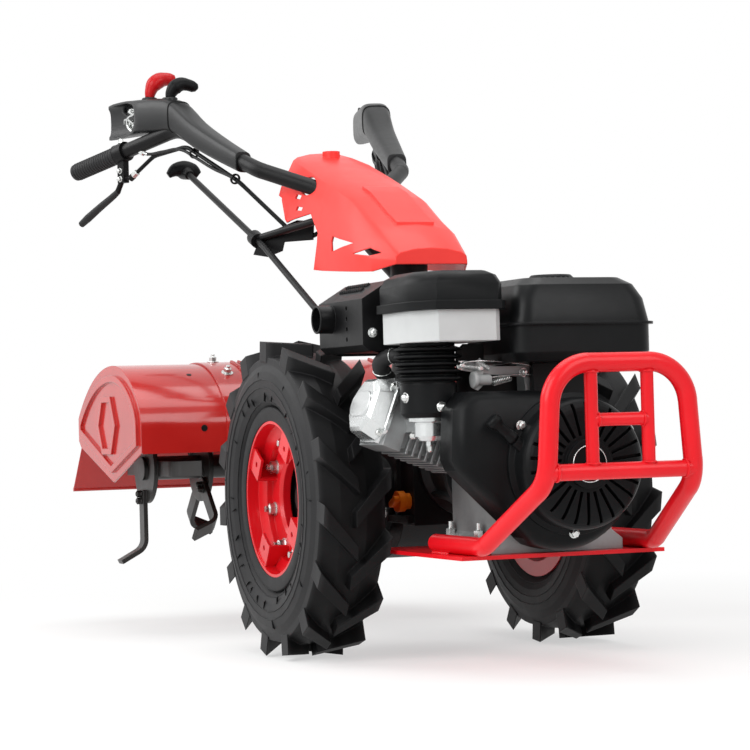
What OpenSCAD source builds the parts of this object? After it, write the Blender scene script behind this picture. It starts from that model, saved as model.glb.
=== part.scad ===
// Two-wheeled walking tractor with a rotary tiller, in millimetres.
// X points forward, Y to the machine's left, Z up. The machine stands on its tyres and its depth skid.
// Shapes are drawn from the wheel axle's centre, and placed() sets them on the ground.

/* [Wheels] */
// diameter over the tips of the lugs
tyre_od = 520; // [460:2:580]
// widest section of the tyre
tyre_w = 128; // [110:1:150]
// height of a lug above the carcass
lug_h = 22; // [12:1:28]
// lugs on each side of the tread
lug_n = 15; // [11:1:18]
// width of a lug at the centre line
lug_w = 24; // [16:1:32]
// distance between the wheels' centre planes
track = 472; // [460:2:520]
// diameter over the rim's flanges
rim_d = 298; // [280:2:310]
// width between the rim's flanges
rim_w = 94; // [84:1:104]
// depth of the wheel disc inside the outer flange
disc_in = 38; // [30:1:46]
// diameter of the large hole in the wheel disc
disc_hole_d = 132; // [116:1:140]
// brackets between the wheel disc and the outer flange
bracket_n = 4; // [3:1:6]
// width of a bracket
bracket_w = 40; // [30:1:44]
// diameter of the axle shaft
axle_d = 44; // [36:1:50]

/* [Gearbox] */
// length of the gear case
gearbox_l = 293; // [260:1:320]
// front face of the gear case, ahead of the axle
gearbox_front = 143; // [130:1:160]
// half width of the gear case
gearbox_half = 95; // [80:1:105]
// top of the gear case above the axle
gearbox_top = 150; // [130:1:165]
// bottom of the gear case below the axle
gearbox_bottom = 105; // [90:1:112]
// diameter of the axle tubes
axle_tube_d = 84; // [70:1:96]
// length of the clutch bell
bell_l = 147; // [130:1:160]
// diameter of the clutch bell's flange
bell_d = 206; // [190:1:220]
// ribs on the clutch bell
bell_rib_n = 10; // [6:1:14]
// height of the crankshaft above the axle
crank_z = 53; // [45:1:60]

/* [Handlebar column] */
// swivel axis, behind the axle
column_back = 80; // [70:1:100]
// diameter of the fixed post
column_d = 64; // [54:1:72]
// top of the fixed post above the axle
column_top = 336; // [326:1:342]
// diameter of the swivel pin
swivel_d = 44; // [36:1:48]

/* [Base plate and bumper] */
// top of the base plate, below the axle
plate_top = 80; // [74:1:86]
// thickness of the base plate
plate_t = 6; // [4:0.5:10]
// length of the base plate
plate_l = 352; // [330:1:370]
// width of the base plate
plate_w = 336; // [322:2:344]
// diameter of the bumper's main tube
bumper_d = 28; // [24:1:32]
// bumper plane, ahead of the axle
bumper_x = 686; // [670:1:710]
// half width of the bumper's feet
foot_half = 141; // [136:1:144]
// half width of the bumper at its top corners
bumper_half = 106; // [98:1:114]
// height of the bumper's top bar above the axle
bumper_top = 199; // [180:1:215]
// height of the crossbar above the axle
crossbar_z = 44; // [36:1:56]
// diameter of the crossbar
crossbar_d = 24; // [20:1:26]
// diameter of the two posts
post_d = 19; // [14:1:22]
// half the distance between the posts
post_half = 45; // [36:1:54]

/* [Engine] */
// length of the crankcase
case_l = 180; // [170:1:190]
// half width of the crankcase
case_half = 110; // [100:1:116]
// lean of the cylinder from level
cylinder_lean = 21; // [16:1:26]
// length of the cylinder from the crank axis to the rocker cover
cylinder_l = 236; // [225:1:245]
// width of the cylinder along the machine
cylinder_w = 96; // [88:1:98]
// cooling fins
fin_n = 9; // [7:1:10]
// depth of the rocker cover
rocker_h = 38; // [28:1:44]
// thickness of the blower housing
blower_l = 65; // [55:1:75]
// diameter of the recoil starter
recoil_d = 196; // [180:2:204]
// depth of the recoil starter
recoil_l = 52; // [44:1:60]
// slots in the recoil starter
slot_n = 26; // [16:1:32]
// length of the starter's pull handle
pull_l = 50; // [44:1:60]

/* [Tank and air cleaner] */
// tank length over its seam
tank_l = 222; // [200:1:240]
// tank width over its seam
tank_w = 242; // [220:1:250]
// underside of the tank above the axle
tank_z = 205; // [198:1:215]
// height of the tank's lower half
tank_low_h = 54; // [44:1:64]
// height of the tank's upper half
tank_high_h = 68; // [58:1:76]
// width of the seam
seam_w = 7; // [4:0.5:10]
// diameter of the tank cap
cap_d = 68; // [58:1:74]
// length of the air cleaner
air_l = 180; // [168:1:184]
// width of the air cleaner
air_w = 142; // [132:1:146]
// underside of the air cleaner above the axle
air_z = 238; // [234:1:246]
// height of the pale box
air_box_h = 46; // [40:1:52]
// height of the dark cover
air_cover_h = 58; // [50:1:66]
// diameter of the intake shroud
intake_d = 88; // [80:1:90]
// height of the intake shroud
intake_h = 111; // [104:1:116]
// diameter of the carburettor bowl
bowl_d = 47; // [40:1:54]

/* [Muffler] */
// length of the muffler
muffler_l = 186; // [160:1:190]
// width of the muffler
muffler_w = 140; // [120:1:146]
// height of the muffler
muffler_h = 108; // [96:1:112]
// underside of the muffler above the axle
muffler_z = 230; // [226:1:240]
// diameter of the outlet
outlet_d = 44; // [36:1:50]

/* [Fairing] */
// wall of the fairing
fairing_wall = 3; // [2:0.5:5]
// half width of the fairing's front edge
fairing_front_half = 65; // [55:1:75]
// half width of the fairing's flared sides
fairing_side_half = 98; // [90:1:104]
// height of the fairing's rear edge above the axle
fairing_rear_z = 612; // [604:1:630]

/* [Handlebar] */
// diameter of the handlebar tubes
bar_d = 29; // [25:1:32]
// diameter of the grips
grip_d = 33; // [31:0.5:38]
// height of the grips' rear ends above the axle
grip_z = 633; // [610:1:660]
// half distance between the grips' rear ends
grip_half = 330; // [310:1:345]
// grips' rear ends, behind the axle
grip_back = 986; // [970:1:1010]
// length of the rubber grip
grip_l = 128; // [110:1:140]
// height of the console at its open rear end
console_h = 72; // [60:1:78]
// width of the console
console_w = 58; // [50:1:64]
// wall of the console
console_wall = 4; // [3:0.5:6]
// diameter of the control cables
cable_d = 8; // [6:0.5:9]
// diameter of the shift rod
shift_d = 12; // [10:0.5:14]

/* [Tiller] */
// rotor axis, behind the axle
rotor_back = 647; // [640:1:670]
// rotor axis, above the axle
rotor_up = 45; // [40:1:55]
// radius at the tips of the tines
tine_r = 176; // [165:1:180]
// rotor shaft diameter
rotor_d = 44; // [36:1:50]
// diameter of the rotor's flanges
flange_d = 130; // [116:2:140]
// distance between flanges
flange_pitch = 107; // [100:1:108]
// innermost flange, from the middle
flange_first = 92; // [90:1:94]
// thickness of a tine
tine_t = 8; // [6:0.5:9]
// width of a tine
tine_w = 28; // [22:1:34]
// inner radius of a tine's bend
tine_bend = 22; // [16:1:26]
// turn of a tine's bend
tine_turn = 62; // [50:1:70]
// top of the hood above the rotor axis
hood_h = 196; // [192:1:206]
// thickness of the hood's sheet
hood_t = 3; // [2:0.5:4]
// half width of the tiller over its end plates
tiller_half = 375; // [365:1:385]
// half width of the centre hood
centre_half = 208; // [190:1:220]
// diameter of the hinge pin of the flap
hinge_pin_d = 8; // [6:0.5:10]
// thickness of the depth skid
skid_t = 16; // [12:1:20]

/* [Hidden] */
$fn = 64;
fit = 0.05;
seat = 0.2;
bend_over = 0.4;

function unit(v) = v / norm(v);
function turned(a) = [cos(a), sin(a)];
function arc(c, r, a0, a1, n) = [for (i = [0:n]) c + r * turned(a0 + (a1 - a0) * i / n)];
function flip(p) = [for (i = [len(p) - 1:-1:0]) [p[i][0], -p[i][1]]];

// wheels
wheel_r = tyre_od / 2;
rim_r = rim_d / 2;
wheel_y = track / 2;
carcass_r = wheel_r - lug_h;
crown_w = tyre_w * 0.43;
bead_r = rim_r - 22;
well_r = bead_r - 19;
rim_t = 4;
flange_y = rim_w / 2 + rim_t;
disc_t = 6;
disc_front = -flange_y + disc_in;
hub_face = wheel_y - disc_front - disc_t;

// drive train and engine
gearbox_rear = gearbox_front - gearbox_l;
axle_tube_end = 152;
bell_front = gearbox_front + bell_l;
case_front = bell_front + case_l;
blower_front = case_front + blower_l;
recoil_r = recoil_d / 2;
column_x = -column_back;
swivel_top = column_top + 78;
foot_z = -plate_top + bumper_d / 2 + seat;
case_top = crank_z + 97;
head_x = bell_front + 34;
head_y = -cylinder_l * cos(cylinder_lean);
air_x = bell_front + 153;
air_y = head_y + 50;
tank_x = bell_front + 143;
tank_y = air_y + air_w / 2 + 6 + tank_w / 2;
seam_t = 4;
intake_x = bell_front + 134;
intake_y = head_y + 36;
carb_z = air_z - intake_h;
muffler_x = bell_front - 45;
muffler_y = head_y + 37;

// handlebar, right side
bar_a = [column_x - 170, -45, column_top + 169];
bar_b = [column_x - 250, -60, column_top + 202];
bar_c = [column_x - 360, -141, column_top + 249];
bar_dv = [column_x - 635, -205, column_top + 354];
bar_e = [-grip_back, -grip_half, grip_z];
bar_path = [bar_a, bar_b, bar_c, bar_dv, bar_e];
bar_bends = [70, 60, 90];
grip_dir = unit(bar_e - bar_dv);
grip_end_pad = 4;
rear_reach = grip_back - grip_end_pad * grip_dir[0] + grip_d / 2 * sqrt(1 - pow(grip_dir[0], 2));
front_reach = bumper_x + (bumper_d + bend_over) / 2;
axle_x = (rear_reach - front_reach) / 2;
rod_top = [-908, -130, 628];
rod_mid = [-452, -130, 446];
rod_foot = [column_x - 20, -130, gearbox_top + 125];
rod_dir = unit(rod_top - rod_mid);
guide = rod_mid + rod_dir * 45;
lever_at = bar_dv + grip_dir * 165;

// tiller
rotor_x = -rotor_back;
hood_top = rotor_up + hood_h;
hood_x = rotor_x + 9;
hood_low = rotor_up + 29;
back_r = 360;
crown_r = 226;
nose_r = 78;
nose = [hood_x + (crown_r - nose_r) * cos(45), hood_top - crown_r + (crown_r - nose_r) * sin(45)];
hinge_x = hood_x - 184;
hinge_z = hood_top - back_r + sqrt(pow(back_r, 2) - pow(hinge_x - hood_x, 2)) - 2;
knuckle_d = hinge_pin_d + 8;
knuckle_half = 119;
case_half_y = 30;
skid_x = rotor_x - tine_r - 32;

module placed() {
    translate([axle_x, 0, wheel_r]) children();
}

// turns a profile drawn as [radius, across] about the Y axis
module about_y(profile) {
    rotate([-90, 0, 0]) rotate_extrude() polygon(profile);
}

// carries a flat outline drawn as [X, Z] across the machine, from y0 to y1
module across(y0, y1) {
    translate([0, y1, 0]) rotate([90, 0, 0]) linear_extrude(y1 - y0) children();
}

// carries a flat outline drawn as [Y, Z] along the machine, from x0 to x1
module along(x0, x1) {
    translate([x0, 0, 0]) rotate([90, 0, 90]) linear_extrude(x1 - x0) children();
}

// sets the Z axis at a point and turns it to a direction
module aimed(at, dir) {
    translate(at) rotate([0, acos(dir[2]), atan2(dir[1], dir[0])]) children();
}

// one straight length of round bar
module rod(a, b, d) {
    aimed(a, unit(b - a)) cylinder(d = d, h = norm(b - a));
}

// one bend at p between the directions a and b, with centre radius r
module bend(p, a, b, d, r) {
    angle = acos(a * b);
    n = unit(b - a * (a * b));
    c = p - a * r * tan(angle / 2) + n * r;
    z = cross(-n, a);
    multmatrix([[-n[0], a[0], z[0], c[0]], [-n[1], a[1], z[1], c[1]], [-n[2], a[2], z[2], c[2]], [0, 0, 0, 1]])
        rotate_extrude(angle = angle) translate([r, 0]) circle(d = d);
}

// round tube along a list of corners, each rounded with its own radius
module tube(pts, d, radii) {
    n = len(pts);
    dirs = [for (i = [0:n - 2]) unit(pts[i + 1] - pts[i])];
    inner = [for (i = [1:n - 2]) radii[i - 1] * tan(acos(dirs[i - 1] * dirs[i]) / 2) - 1];
    cuts = concat([0], inner, [0]);
    for (i = [0:n - 2])
        rod(pts[i] + dirs[i] * cuts[i], pts[i + 1] - dirs[i] * cuts[i + 1], d);
    for (i = [1:n - 2])
        bend(pts[i], dirs[i - 1], dirs[i], d + bend_over, radii[i - 1]);
}

module left() {
    mirror([0, 1, 0]) children();
}

module both() {
    children();
    left() children();
}

// wheels
mid_r = (rim_r + carcass_r) / 2 - 3;
side_h = (carcass_r - rim_r) * 0.47;
bulge = (tyre_w - rim_w) * 0.8;
tyre_side = [for (i = [0:6]) let (t = -64 + i * 18)
    [mid_r + side_h * sin(t), tyre_w / 2 - bulge + bulge * cos(t)]];
tyre_outer = concat([[bead_r + seat, rim_w / 2 - 12], [bead_r + seat, rim_w / 2 - seat],
    [rim_r, rim_w / 2 - seat]], tyre_side, [[carcass_r - 7, crown_w], [carcass_r, crown_w * 0.4]]);
tyre_inner = [[carcass_r - 20, crown_w * 0.4], [carcass_r - 26, crown_w - 8],
    [mid_r + 8, tyre_w / 2 - 10], [rim_r + 8, rim_w / 2 - 8]];

module lug() {
    shoulder = crown_w + 2;
    sweep = shoulder + 2;
    slant = [[-3, -lug_w / 2], [shoulder, sweep - lug_w * 0.45], [shoulder, sweep + lug_w * 0.85],
        [-3, lug_w / 2]];
    flat = [for (p = slant) [-p[1] + sweep / 2, p[0]]];
    far = max([for (p = flat) abs(p[0])]);
    top = sqrt(wheel_r * wheel_r - far * far);
    rotate([0, 90, 0]) translate([0, 0, carcass_r - 16]) linear_extrude(top - carcass_r + 16) polygon(flat);
}

module tyre() {
    opening = bead_r + 12;
    color("#1c1c1c") translate([0, -wheel_y, 0]) {
        difference() {
            about_y(concat(tyre_outer, flip(tyre_outer)));
            about_y(concat(tyre_inner, flip(tyre_inner)));
            about_y([[0, -tyre_w], [opening, -rim_w / 2 + 12], [opening, rim_w / 2 - 12], [0, tyre_w]]);
        }
        for (i = [0:lug_n - 1]) {
            rotate([0, -360 * i / lug_n, 0]) lug();
            rotate([0, -360 * (i + 0.5) / lug_n, 0]) left() lug();
        }
    }
}

module rim_bracket() {
    r0 = disc_hole_d / 2 + 16;
    r1 = bead_r - rim_t + 1;
    y0 = -flange_y + 3;
    web = [[r0, y0], [r1, y0], [r1, y0 + 14], [well_r - rim_t + 1, y0 + 24],
        [well_r - rim_t + 1, disc_front + 1], [r0, disc_front + 1]];
    difference() {
        translate([r0, y0, -bracket_w / 2]) cube([r1 - r0, 5, bracket_w]);
        translate([(r0 + r1) / 2 - 4, y0 - 1, -2]) rotate([-90, 0, 0]) cylinder(d = 9, h = 8);
    }
    translate([0, 0, bracket_w / 2 - 5]) linear_extrude(5) polygon(web);
}

module rim() {
    w = rim_w / 2;
    inside = bead_r - rim_t;
    well_in = well_r - rim_t;
    hole_r = disc_hole_d / 2;
    color("#d0161f") translate([0, -wheel_y, 0]) {
        about_y([[rim_r, -flange_y], [rim_r, -w], [bead_r, -w], [bead_r, -w + 18], [well_r, -w + 26],
            [well_r, w - 26], [bead_r, w - 18], [bead_r, w], [rim_r, w], [rim_r, flange_y],
            [inside, flange_y], [inside, w - 16], [well_in, w - 24], [well_in, -w + 24],
            [inside, -w + 16], [inside, -flange_y]]);
        about_y([[hole_r + 5, disc_front], [well_r - 2, disc_front], [well_r - 2, disc_front + disc_t],
            [hole_r + 8, disc_front + disc_t], [hole_r + 4, disc_front + 10], [hole_r + 4, disc_front + 18],
            [hole_r, disc_front + 18], [hole_r, disc_front + 5]]);
        for (i = [0:bracket_n - 1]) rotate([0, 33 + 360 * i / bracket_n, 0]) rim_bracket();
    }
}

module hub() {
    tube_r = axle_tube_d / 2;
    seat_r = disc_hole_d / 2 + 14;
    inner = hub_face - axle_tube_end - 6;
    color("#202020") translate([0, -hub_face, 0]) about_y([[0, 4], [22, 4], [24, 6], [24, 20], [seat_r, 20],
        [seat_r, 0], [seat_r + 20, 0], [seat_r + 20, 10], [seat_r + 8, 14], [seat_r + 8, 26], [tube_r, 36],
        [tube_r - 2, inner], [axle_d / 2, inner], [axle_d / 2, hub_face - 60], [0, hub_face - 60]]);
}

// drive train
module gearbox() {
    shoulder = gearbox_bottom * 0.45;
    bore_l = axle_tube_end - 58 + 1;
    selector = [rod_foot[0], rod_foot[1], gearbox_top - 42];
    color("#262626") difference() {
        union() {
            across(-gearbox_half, gearbox_half) difference() {
                union() {
                    translate([gearbox_rear, -shoulder]) square([gearbox_l, gearbox_top + shoulder]);
                    circle(gearbox_bottom);
                }
                translate([gearbox_rear, gearbox_top]) rotate(45) square(90, center = true);
            }
            rotate([90, 0, 0]) cylinder(d = axle_tube_d, h = axle_tube_end * 2, center = true);
            rod([selector[0], -gearbox_half + 6, selector[2]], selector - [0, 9, 0], 20);
            rod(selector, rod_foot - [0, 0, 14], 12);
            both() {
                translate([0, gearbox_half + 5, 0]) rotate([90, 0, 0])
                    cylinder(d = axle_tube_d + 46, h = 14, center = true);
                for (x = [gearbox_rear + 70, gearbox_front - 62])
                    translate([x, gearbox_half - 1, -shoulder + 12]) cube([9, 9, gearbox_top * 0.78]);
                translate([gearbox_rear + 6, gearbox_half - 1, -shoulder + 4]) cube([gearbox_l - 12, 11, 12]);
            }
        }
        both() translate([0, (axle_tube_end + 58) / 2, 0]) rotate([90, 0, 0])
            cylinder(d = axle_d + 2 * fit, h = bore_l, center = true);
    }
}

module bell_housing() {
    r = bell_d / 2;
    color("#303030") translate([gearbox_front, 0, crank_z]) rotate([0, 90, 0]) {
        rotate_extrude() polygon([[0, 0], [r - 14, 0], [r - 14, 14], [r - 26, 22], [r - 14, bell_l - 14],
            [r, bell_l - 14], [r, bell_l], [0, bell_l]]);
        for (i = [0:bell_rib_n - 1]) rotate(360 * (i + 0.5) / bell_rib_n) rotate([90, 0, 0])
            translate([0, 0, -4]) linear_extrude(8)
                polygon([[r - 40, 12], [r - 17, 12], [r - 4, bell_l - 13], [r - 40, bell_l - 13]]);
    }
}

module column() {
    color("#242424") translate([column_x, 0, 0]) {
        translate([0, 0, gearbox_top]) cylinder(d = column_d + 60, h = 14);
        translate([0, 0, gearbox_top + 14]) cylinder(d1 = column_d + 26, d2 = column_d, h = 60);
        translate([0, 0, gearbox_top + 74]) cylinder(d = column_d, h = column_top - gearbox_top - 74);
        translate([0, 0, column_top]) cylinder(d = swivel_d, h = swivel_top - column_top - 12);
    }
}

// chassis ironwork
module base_plate() {
    color("#c8181f") difference() {
        translate([gearbox_front, -plate_w / 2, -plate_top - plate_t]) cube([plate_l, plate_w, plate_t]);
        translate([gearbox_front, 0, -plate_top - plate_t - 1]) cylinder(d = 120, h = plate_t + 2);
    }
}

module bumper() {
    foot = [bell_front + 47, -foot_half, foot_z];
    knee = [gearbox_front + plate_l + 20, -foot_half, foot_z];
    shin = [bumper_x, -bumper_half - 12, 30];
    corner = [bumper_x, -bumper_half, bumper_top];
    function o(p) = [p[0], -p[1], p[2]];
    bar_half = bumper_half + 12 - 12 * (crossbar_z - 30) / (bumper_top - 30);
    middle = (crossbar_z + bumper_top) / 2 - 4;
    color("#c8181f") {
        tube([foot, knee, shin, corner, o(corner), o(shin), o(knee), o(foot)], bumper_d,
            [45, 50, 62, 62, 50, 45]);
        rod([bumper_x, -bar_half, crossbar_z], [bumper_x, bar_half, crossbar_z], crossbar_d);
        both() rod([bumper_x, post_half, crossbar_z], [bumper_x, post_half, bumper_top], post_d);
        rod([bumper_x, -post_half, middle], [bumper_x, post_half, middle], post_d);
    }
}

// engine
module leaning() {
    translate([0, 0, crank_z]) rotate([-cylinder_lean, 0, 0]) children();
}

module engine_block() {
    foot = -plate_top;
    wall = case_half - 18;
    color("#9a9c9c") {
        along(bell_front, case_front) polygon([[-case_half, foot], [case_half, foot], [case_half, foot + 16],
            [wall, foot + 30], [wall, crank_z + 50], [case_half - 60, case_top], [-40, case_top],
            [-wall, crank_z + 30], [-wall, foot + 30], [-case_half, foot + 16]]);
        leaning() {
            translate([bell_front, -cylinder_l, -46])
                cube([head_x + cylinder_w / 2 - 8 - bell_front, cylinder_l, 92]);
            translate([head_x - cylinder_w / 2, -cylinder_l, -54]) cube([cylinder_w, 30, 108]);
            for (i = [1:fin_n]) translate([head_x - cylinder_w / 2, -cylinder_l + 28 + i * 11, -54])
                cube([cylinder_w, 4, 108]);
        }
        for (x = [tank_x - 70, tank_x + 20]) translate([x, -30, case_top]) cube([14, 90, tank_z - case_top]);
    }
}

module blower_outline(inset) {
    out = head_y + 8 + inset;
    translate([-12, crank_z - 11]) circle(118 - inset);
    polygon([[0, crank_z + 100 - inset], [0, -plate_top + 14 + inset], [-62, -plate_top + 14 + inset],
        [out + 7, crank_z - 6], [out, crank_z + 10], [out + 4, crank_z + 84], [out + 28, crank_z + 110 - inset],
        [-60, crank_z + 110 - inset]]);
}

module blower_housing() {
    color("#1d1d1d") hull() {
        along(case_front, blower_front - 22) blower_outline(0);
        along(blower_front - 10, blower_front - 9) blower_outline(4);
        along(blower_front - 1, blower_front) blower_outline(14);
    }
}

pull_at = [blower_front + 21, -4 - (recoil_r + 10) * cos(20), crank_z + (recoil_r + 10) * sin(20)];
pull_dir = unit([0, -44, 38]);

module recoil_starter() {
    r = recoil_r;
    lip = recoil_l;
    color("#1f1f1f") {
        translate([blower_front, -4, crank_z]) rotate([0, 90, 0]) difference() {
            rotate_extrude() polygon(concat([[0, 0], [r + 8, 0], [r + 8, 6], [r, 10]],
                arc([r - 20, lip - 20], 20, 0, 90, 6), [[36, lip], [36, lip + 8], [26, lip + 8],
                [26, lip + 2], [0, lip + 2]]));
            for (i = [0:slot_n - 1]) rotate(360 * i / slot_n)
                translate([42, -2.5, lip - 12]) cube([r - 50, 5, 30]);
        }
        rod(pull_at - pull_dir * 40, pull_at, 18);
    }
}

module pull_handle() {
    color("#1c1c1c") aimed(pull_at, pull_dir) rotate_extrude()
        polygon([[0, 0], [7, 0], [10, 5], [8, 16], [8, pull_l - 18], [12, pull_l - 8], [11, pull_l - 2],
            [8, pull_l], [0, pull_l]]);
}

module rocker_pan(x, y, c) {
    polygon([[-x, -y + c], [-x + c, -y], [x - c, -y], [x, -y + c], [x, y - c], [x - c, y], [-x + c, y],
        [-x, y - c]]);
}

module rocker_cover() {
    x = cylinder_w / 2 + 4;
    color("#c9cbcb") leaning() translate([head_x, -cylinder_l, 0]) rotate([90, 0, 0]) {
        linear_extrude(6) rocker_pan(x, 52, 20);
        hull() {
            translate([0, 0, 6]) linear_extrude(2) rocker_pan(x - 4, 48, 20);
            translate([0, 0, rocker_h - 9]) linear_extrude(1) rocker_pan(x - 9, 42, 20);
            translate([0, 0, rocker_h - 4]) linear_extrude(1) rocker_pan(x - 15, 36, 18);
        }
        hull() {
            for (s = [-1, 1]) translate([s * (x - 36), 0, rocker_h - 4]) cylinder(r = 20, h = 4, $fn = 32);
        }
    }
}

module tank_slab(in, r, z, h) {
    x = tank_l / 2 - seam_w - in;
    y = tank_w / 2 - seam_w - in;
    for (a = [-1, 1], b = [-1, 1]) translate([a * (x - r), b * (y - r), z]) cylinder(r = r, h = h, $fn = 32);
}

cap_at = [tank_x + 24, tank_y - 20, tank_z + tank_low_h + seam_t + tank_high_h - 12];

module fuel_tank() {
    high = tank_low_h + seam_t;
    color("#191919") difference() {
        translate([tank_x, tank_y, tank_z]) {
            hull() {
                tank_slab(8, 30, 0, 1);
                tank_slab(0, 30, 14, tank_low_h - 14);
            }
            hull() tank_slab(-seam_w, 37, tank_low_h, seam_t);
            hull() {
                tank_slab(0, 30, high, 1);
                tank_slab(6, 30, high + tank_high_h * 0.5, 1);
                tank_slab(17, 30, high + tank_high_h - 12, 1);
                tank_slab(34, 26, high + tank_high_h - 1, 1);
            }
        }
        translate(cap_at) cylinder(d = cap_d + 10, h = 40);
    }
}

module tank_cap() {
    color("#161616") translate(cap_at) rotate_extrude() polygon([[0, 0], [cap_d / 2 - 4, 0], [cap_d / 2, 4],
        [cap_d / 2, 14], [cap_d / 2 - 4, 18], [14, 18], [10, 16], [0, 16]]);
}

module air_outline(grow) {
    x = air_l / 2 + grow;
    y = air_w / 2 + grow;
    polygon([[-x, -y + 14], [-x + 14, -y], [x - 46, -y], [x, -y + 26], [x, y - 10], [x - 10, y],
        [-x + 10, y], [-x, y - 10]]);
}

module air_box() {
    color("#dcdcd8") translate([air_x, air_y, air_z]) linear_extrude(air_box_h) air_outline(-7);
}

module air_cover() {
    rim_h = 13;
    color("#1a1a1a") translate([air_x, air_y, air_z + air_box_h]) {
        linear_extrude(rim_h) air_outline(0);
        hull() {
            translate([0, 0, rim_h]) linear_extrude(air_cover_h - rim_h - 20) air_outline(-4);
            translate([0, 0, air_cover_h - 8]) linear_extrude(1) air_outline(-10);
            translate([0, 0, air_cover_h - 1]) linear_extrude(1) air_outline(-22);
        }
    }
}

module intake_sleeve() {
    r = intake_d / 2;
    ribs = [for (i = [0:4]) let (z = intake_h - 58 + i * 11)
        each [[r - 3, z], [r + 7, z + 3], [r + 7, z + 6], [r - 3, z + 9]]];
    color("#1b1b1b") translate([intake_x, intake_y, carb_z]) rotate_extrude()
        polygon(concat([[0, 0], [r - 8, 0], [r - 2, 6], [r - 2, intake_h - 62]], ribs, [[r - 3, intake_h],
            [0, intake_h]]));
}

module carburettor() {
    r = bowl_d / 2;
    head_end = head_x + cylinder_w / 2;
    color("#b9bbbb") {
        translate([intake_x, intake_y, carb_z]) mirror([0, 0, 1]) rotate_extrude()
            polygon([[0, 0], [r + 8, 0], [r + 8, 6], [r, 8], [r, 28], [r - 6, 35], [6, 36], [6, 42], [0, 42]]);
        translate([head_end, intake_y - 17, carb_z - 22]) cube([intake_x - head_end, 34, 20]);
    }
}

module muffler() {
    x0 = muffler_x - muffler_l / 2;
    y0 = muffler_y - muffler_w / 2;
    y1 = muffler_y + muffler_w / 2;
    top = muffler_z + muffler_h;
    z0 = muffler_z;
    color("#202020") {
        difference() {
            along(x0, x0 + muffler_l) polygon([[y0 + 10, z0], [y1 - 10, z0], [y1, z0 + 10], [y1, top - 12],
                [y1 - 12, top], [y0 + 46, top], [y0, top - 28], [y0, z0 + 10]]);
            for (i = [0:3]) translate([x0 + muffler_l * 0.64, y0 - 1, z0 + 20 + i * 16]) rotate([-90, 0, 0])
                cylinder(d = 7, h = 9);
        }
        translate([x0 + muffler_l * 0.28, y0, z0 + muffler_h / 2]) rotate([90, 0, 0]) difference() {
            cylinder(d = outlet_d, h = 24);
            translate([0, 0, 4]) cylinder(d = outlet_d - 6, h = 24);
        }
        difference() {
            leaning() translate([head_x - 28, -cylinder_l + 46, 54]) cylinder(r = 20, h = 84);
            translate([x0, y0 - 100, z0 + 50]) cube([muffler_l, 400, 200]);
        }
    }
}

module oil_cap() {
    color("#e0661c") translate([gearbox_front - 22, -gearbox_half, -8]) rotate([90, 0, 0]) {
        cylinder(d = 26, h = 10);
        translate([0, 0, 10]) cylinder(d = 34, h = 12);
    }
}

// handlebar, built for the right side
fairing_rows = [
    [20, 402, fairing_front_half - 4, 388, fairing_front_half],
    [-37, 443, fairing_front_half, 374, fairing_side_half - 12],
    [-90, 469, fairing_front_half, 377, fairing_side_half - 4],
    [-160, 508, fairing_front_half + 1, 382, fairing_side_half],
    [-240, 537, fairing_front_half + 2, 388, fairing_side_half],
    [-300, 558, fairing_front_half + 2, 394, fairing_side_half],
    [-400, 592, fairing_front_half, 440, fairing_side_half],
    [-470, fairing_rear_z, fairing_front_half - 6, 500, fairing_side_half - 6]];
fairing_crown = 8;
crease = [for (i = [len(fairing_rows) - 1:-1:0]) [fairing_rows[i][0], fairing_rows[i][1]]];

module fairing_row(row, inset) {
    h = row[4] - inset;
    t = row[2] - inset;
    top = row[1] - inset;
    shoulder = row[3] + (row[1] - row[3]) * 0.48 - inset;
    translate([row[0], 0, 0]) rotate([90, 0, 90]) linear_extrude(0.02)
        polygon([[-h, row[3]], [h, row[3]], [h, shoulder - 12], [h - 5, shoulder + 4], [t + 3, top - 6],
            [t - 5, top], [t * 0.5, top + fairing_crown - 2], [0, top + fairing_crown],
            [-t * 0.5, top + fairing_crown - 2], [5 - t, top], [-t - 3, top - 6], [5 - h, shoulder + 4],
            [-h, shoulder - 12]]);
}

module fairing_span(i, inset) {
    hull() {
        fairing_row(fairing_rows[i], inset);
        fairing_row(fairing_rows[i + 1], inset);
    }
}

module fairing_form(inset) {
    for (i = [0:len(fairing_rows) - 2]) fairing_span(i, inset);
}

module panel_slab(x) {
    translate([x, -34, lookup(x, crease) - 4]) cube([0.02, 68, fairing_crown + 7]);
}

module fairing() {
    front = fairing_rows[0][0];
    color("#e2483f") difference() {
        union() {
            fairing_form(0);
            hull() {
                panel_slab(-90);
                panel_slab(-46);
            }
            hull() {
                panel_slab(-160);
                panel_slab(-90);
            }
            hull() {
                panel_slab(-200);
                panel_slab(-160);
            }
            translate([-436, 0, lookup(-436, crease)]) cylinder(d = 32, h = fairing_crown + 9);
        }
        difference() {
            translate([0, 0, -0.05]) fairing_form(fairing_wall);
            translate([front - fairing_wall, -200, 300]) cube([40, 400, 400]);
        }
        across(-200, 200) polygon([[-283, 360], [-283, 392], [-262, 440], [-259, 455], [-299, 483],
            [-314, 495], [-420, 487], [-431, 494], [-453, 535], [-480, 545], [-480, 360]]);
        across(-200, 200) polygon([[-192, 445], [-190, 418], [-106, 427]]);
        across(-200, 200) polygon([[-100, 408], [-50, 415], [-16, 404], [-45, 401]]);
        across(-200, 200) polygon([[-396, 529], [-372, 525], [-370, 532], [-394, 537]]);
        across(-200, 200) polygon([[-378, 506], [-354, 503], [-352, 509], [-376, 513]]);
        both() tube([bar_a, bar_b, bar_c], bar_d + 6, [70]);
    }
}

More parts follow.
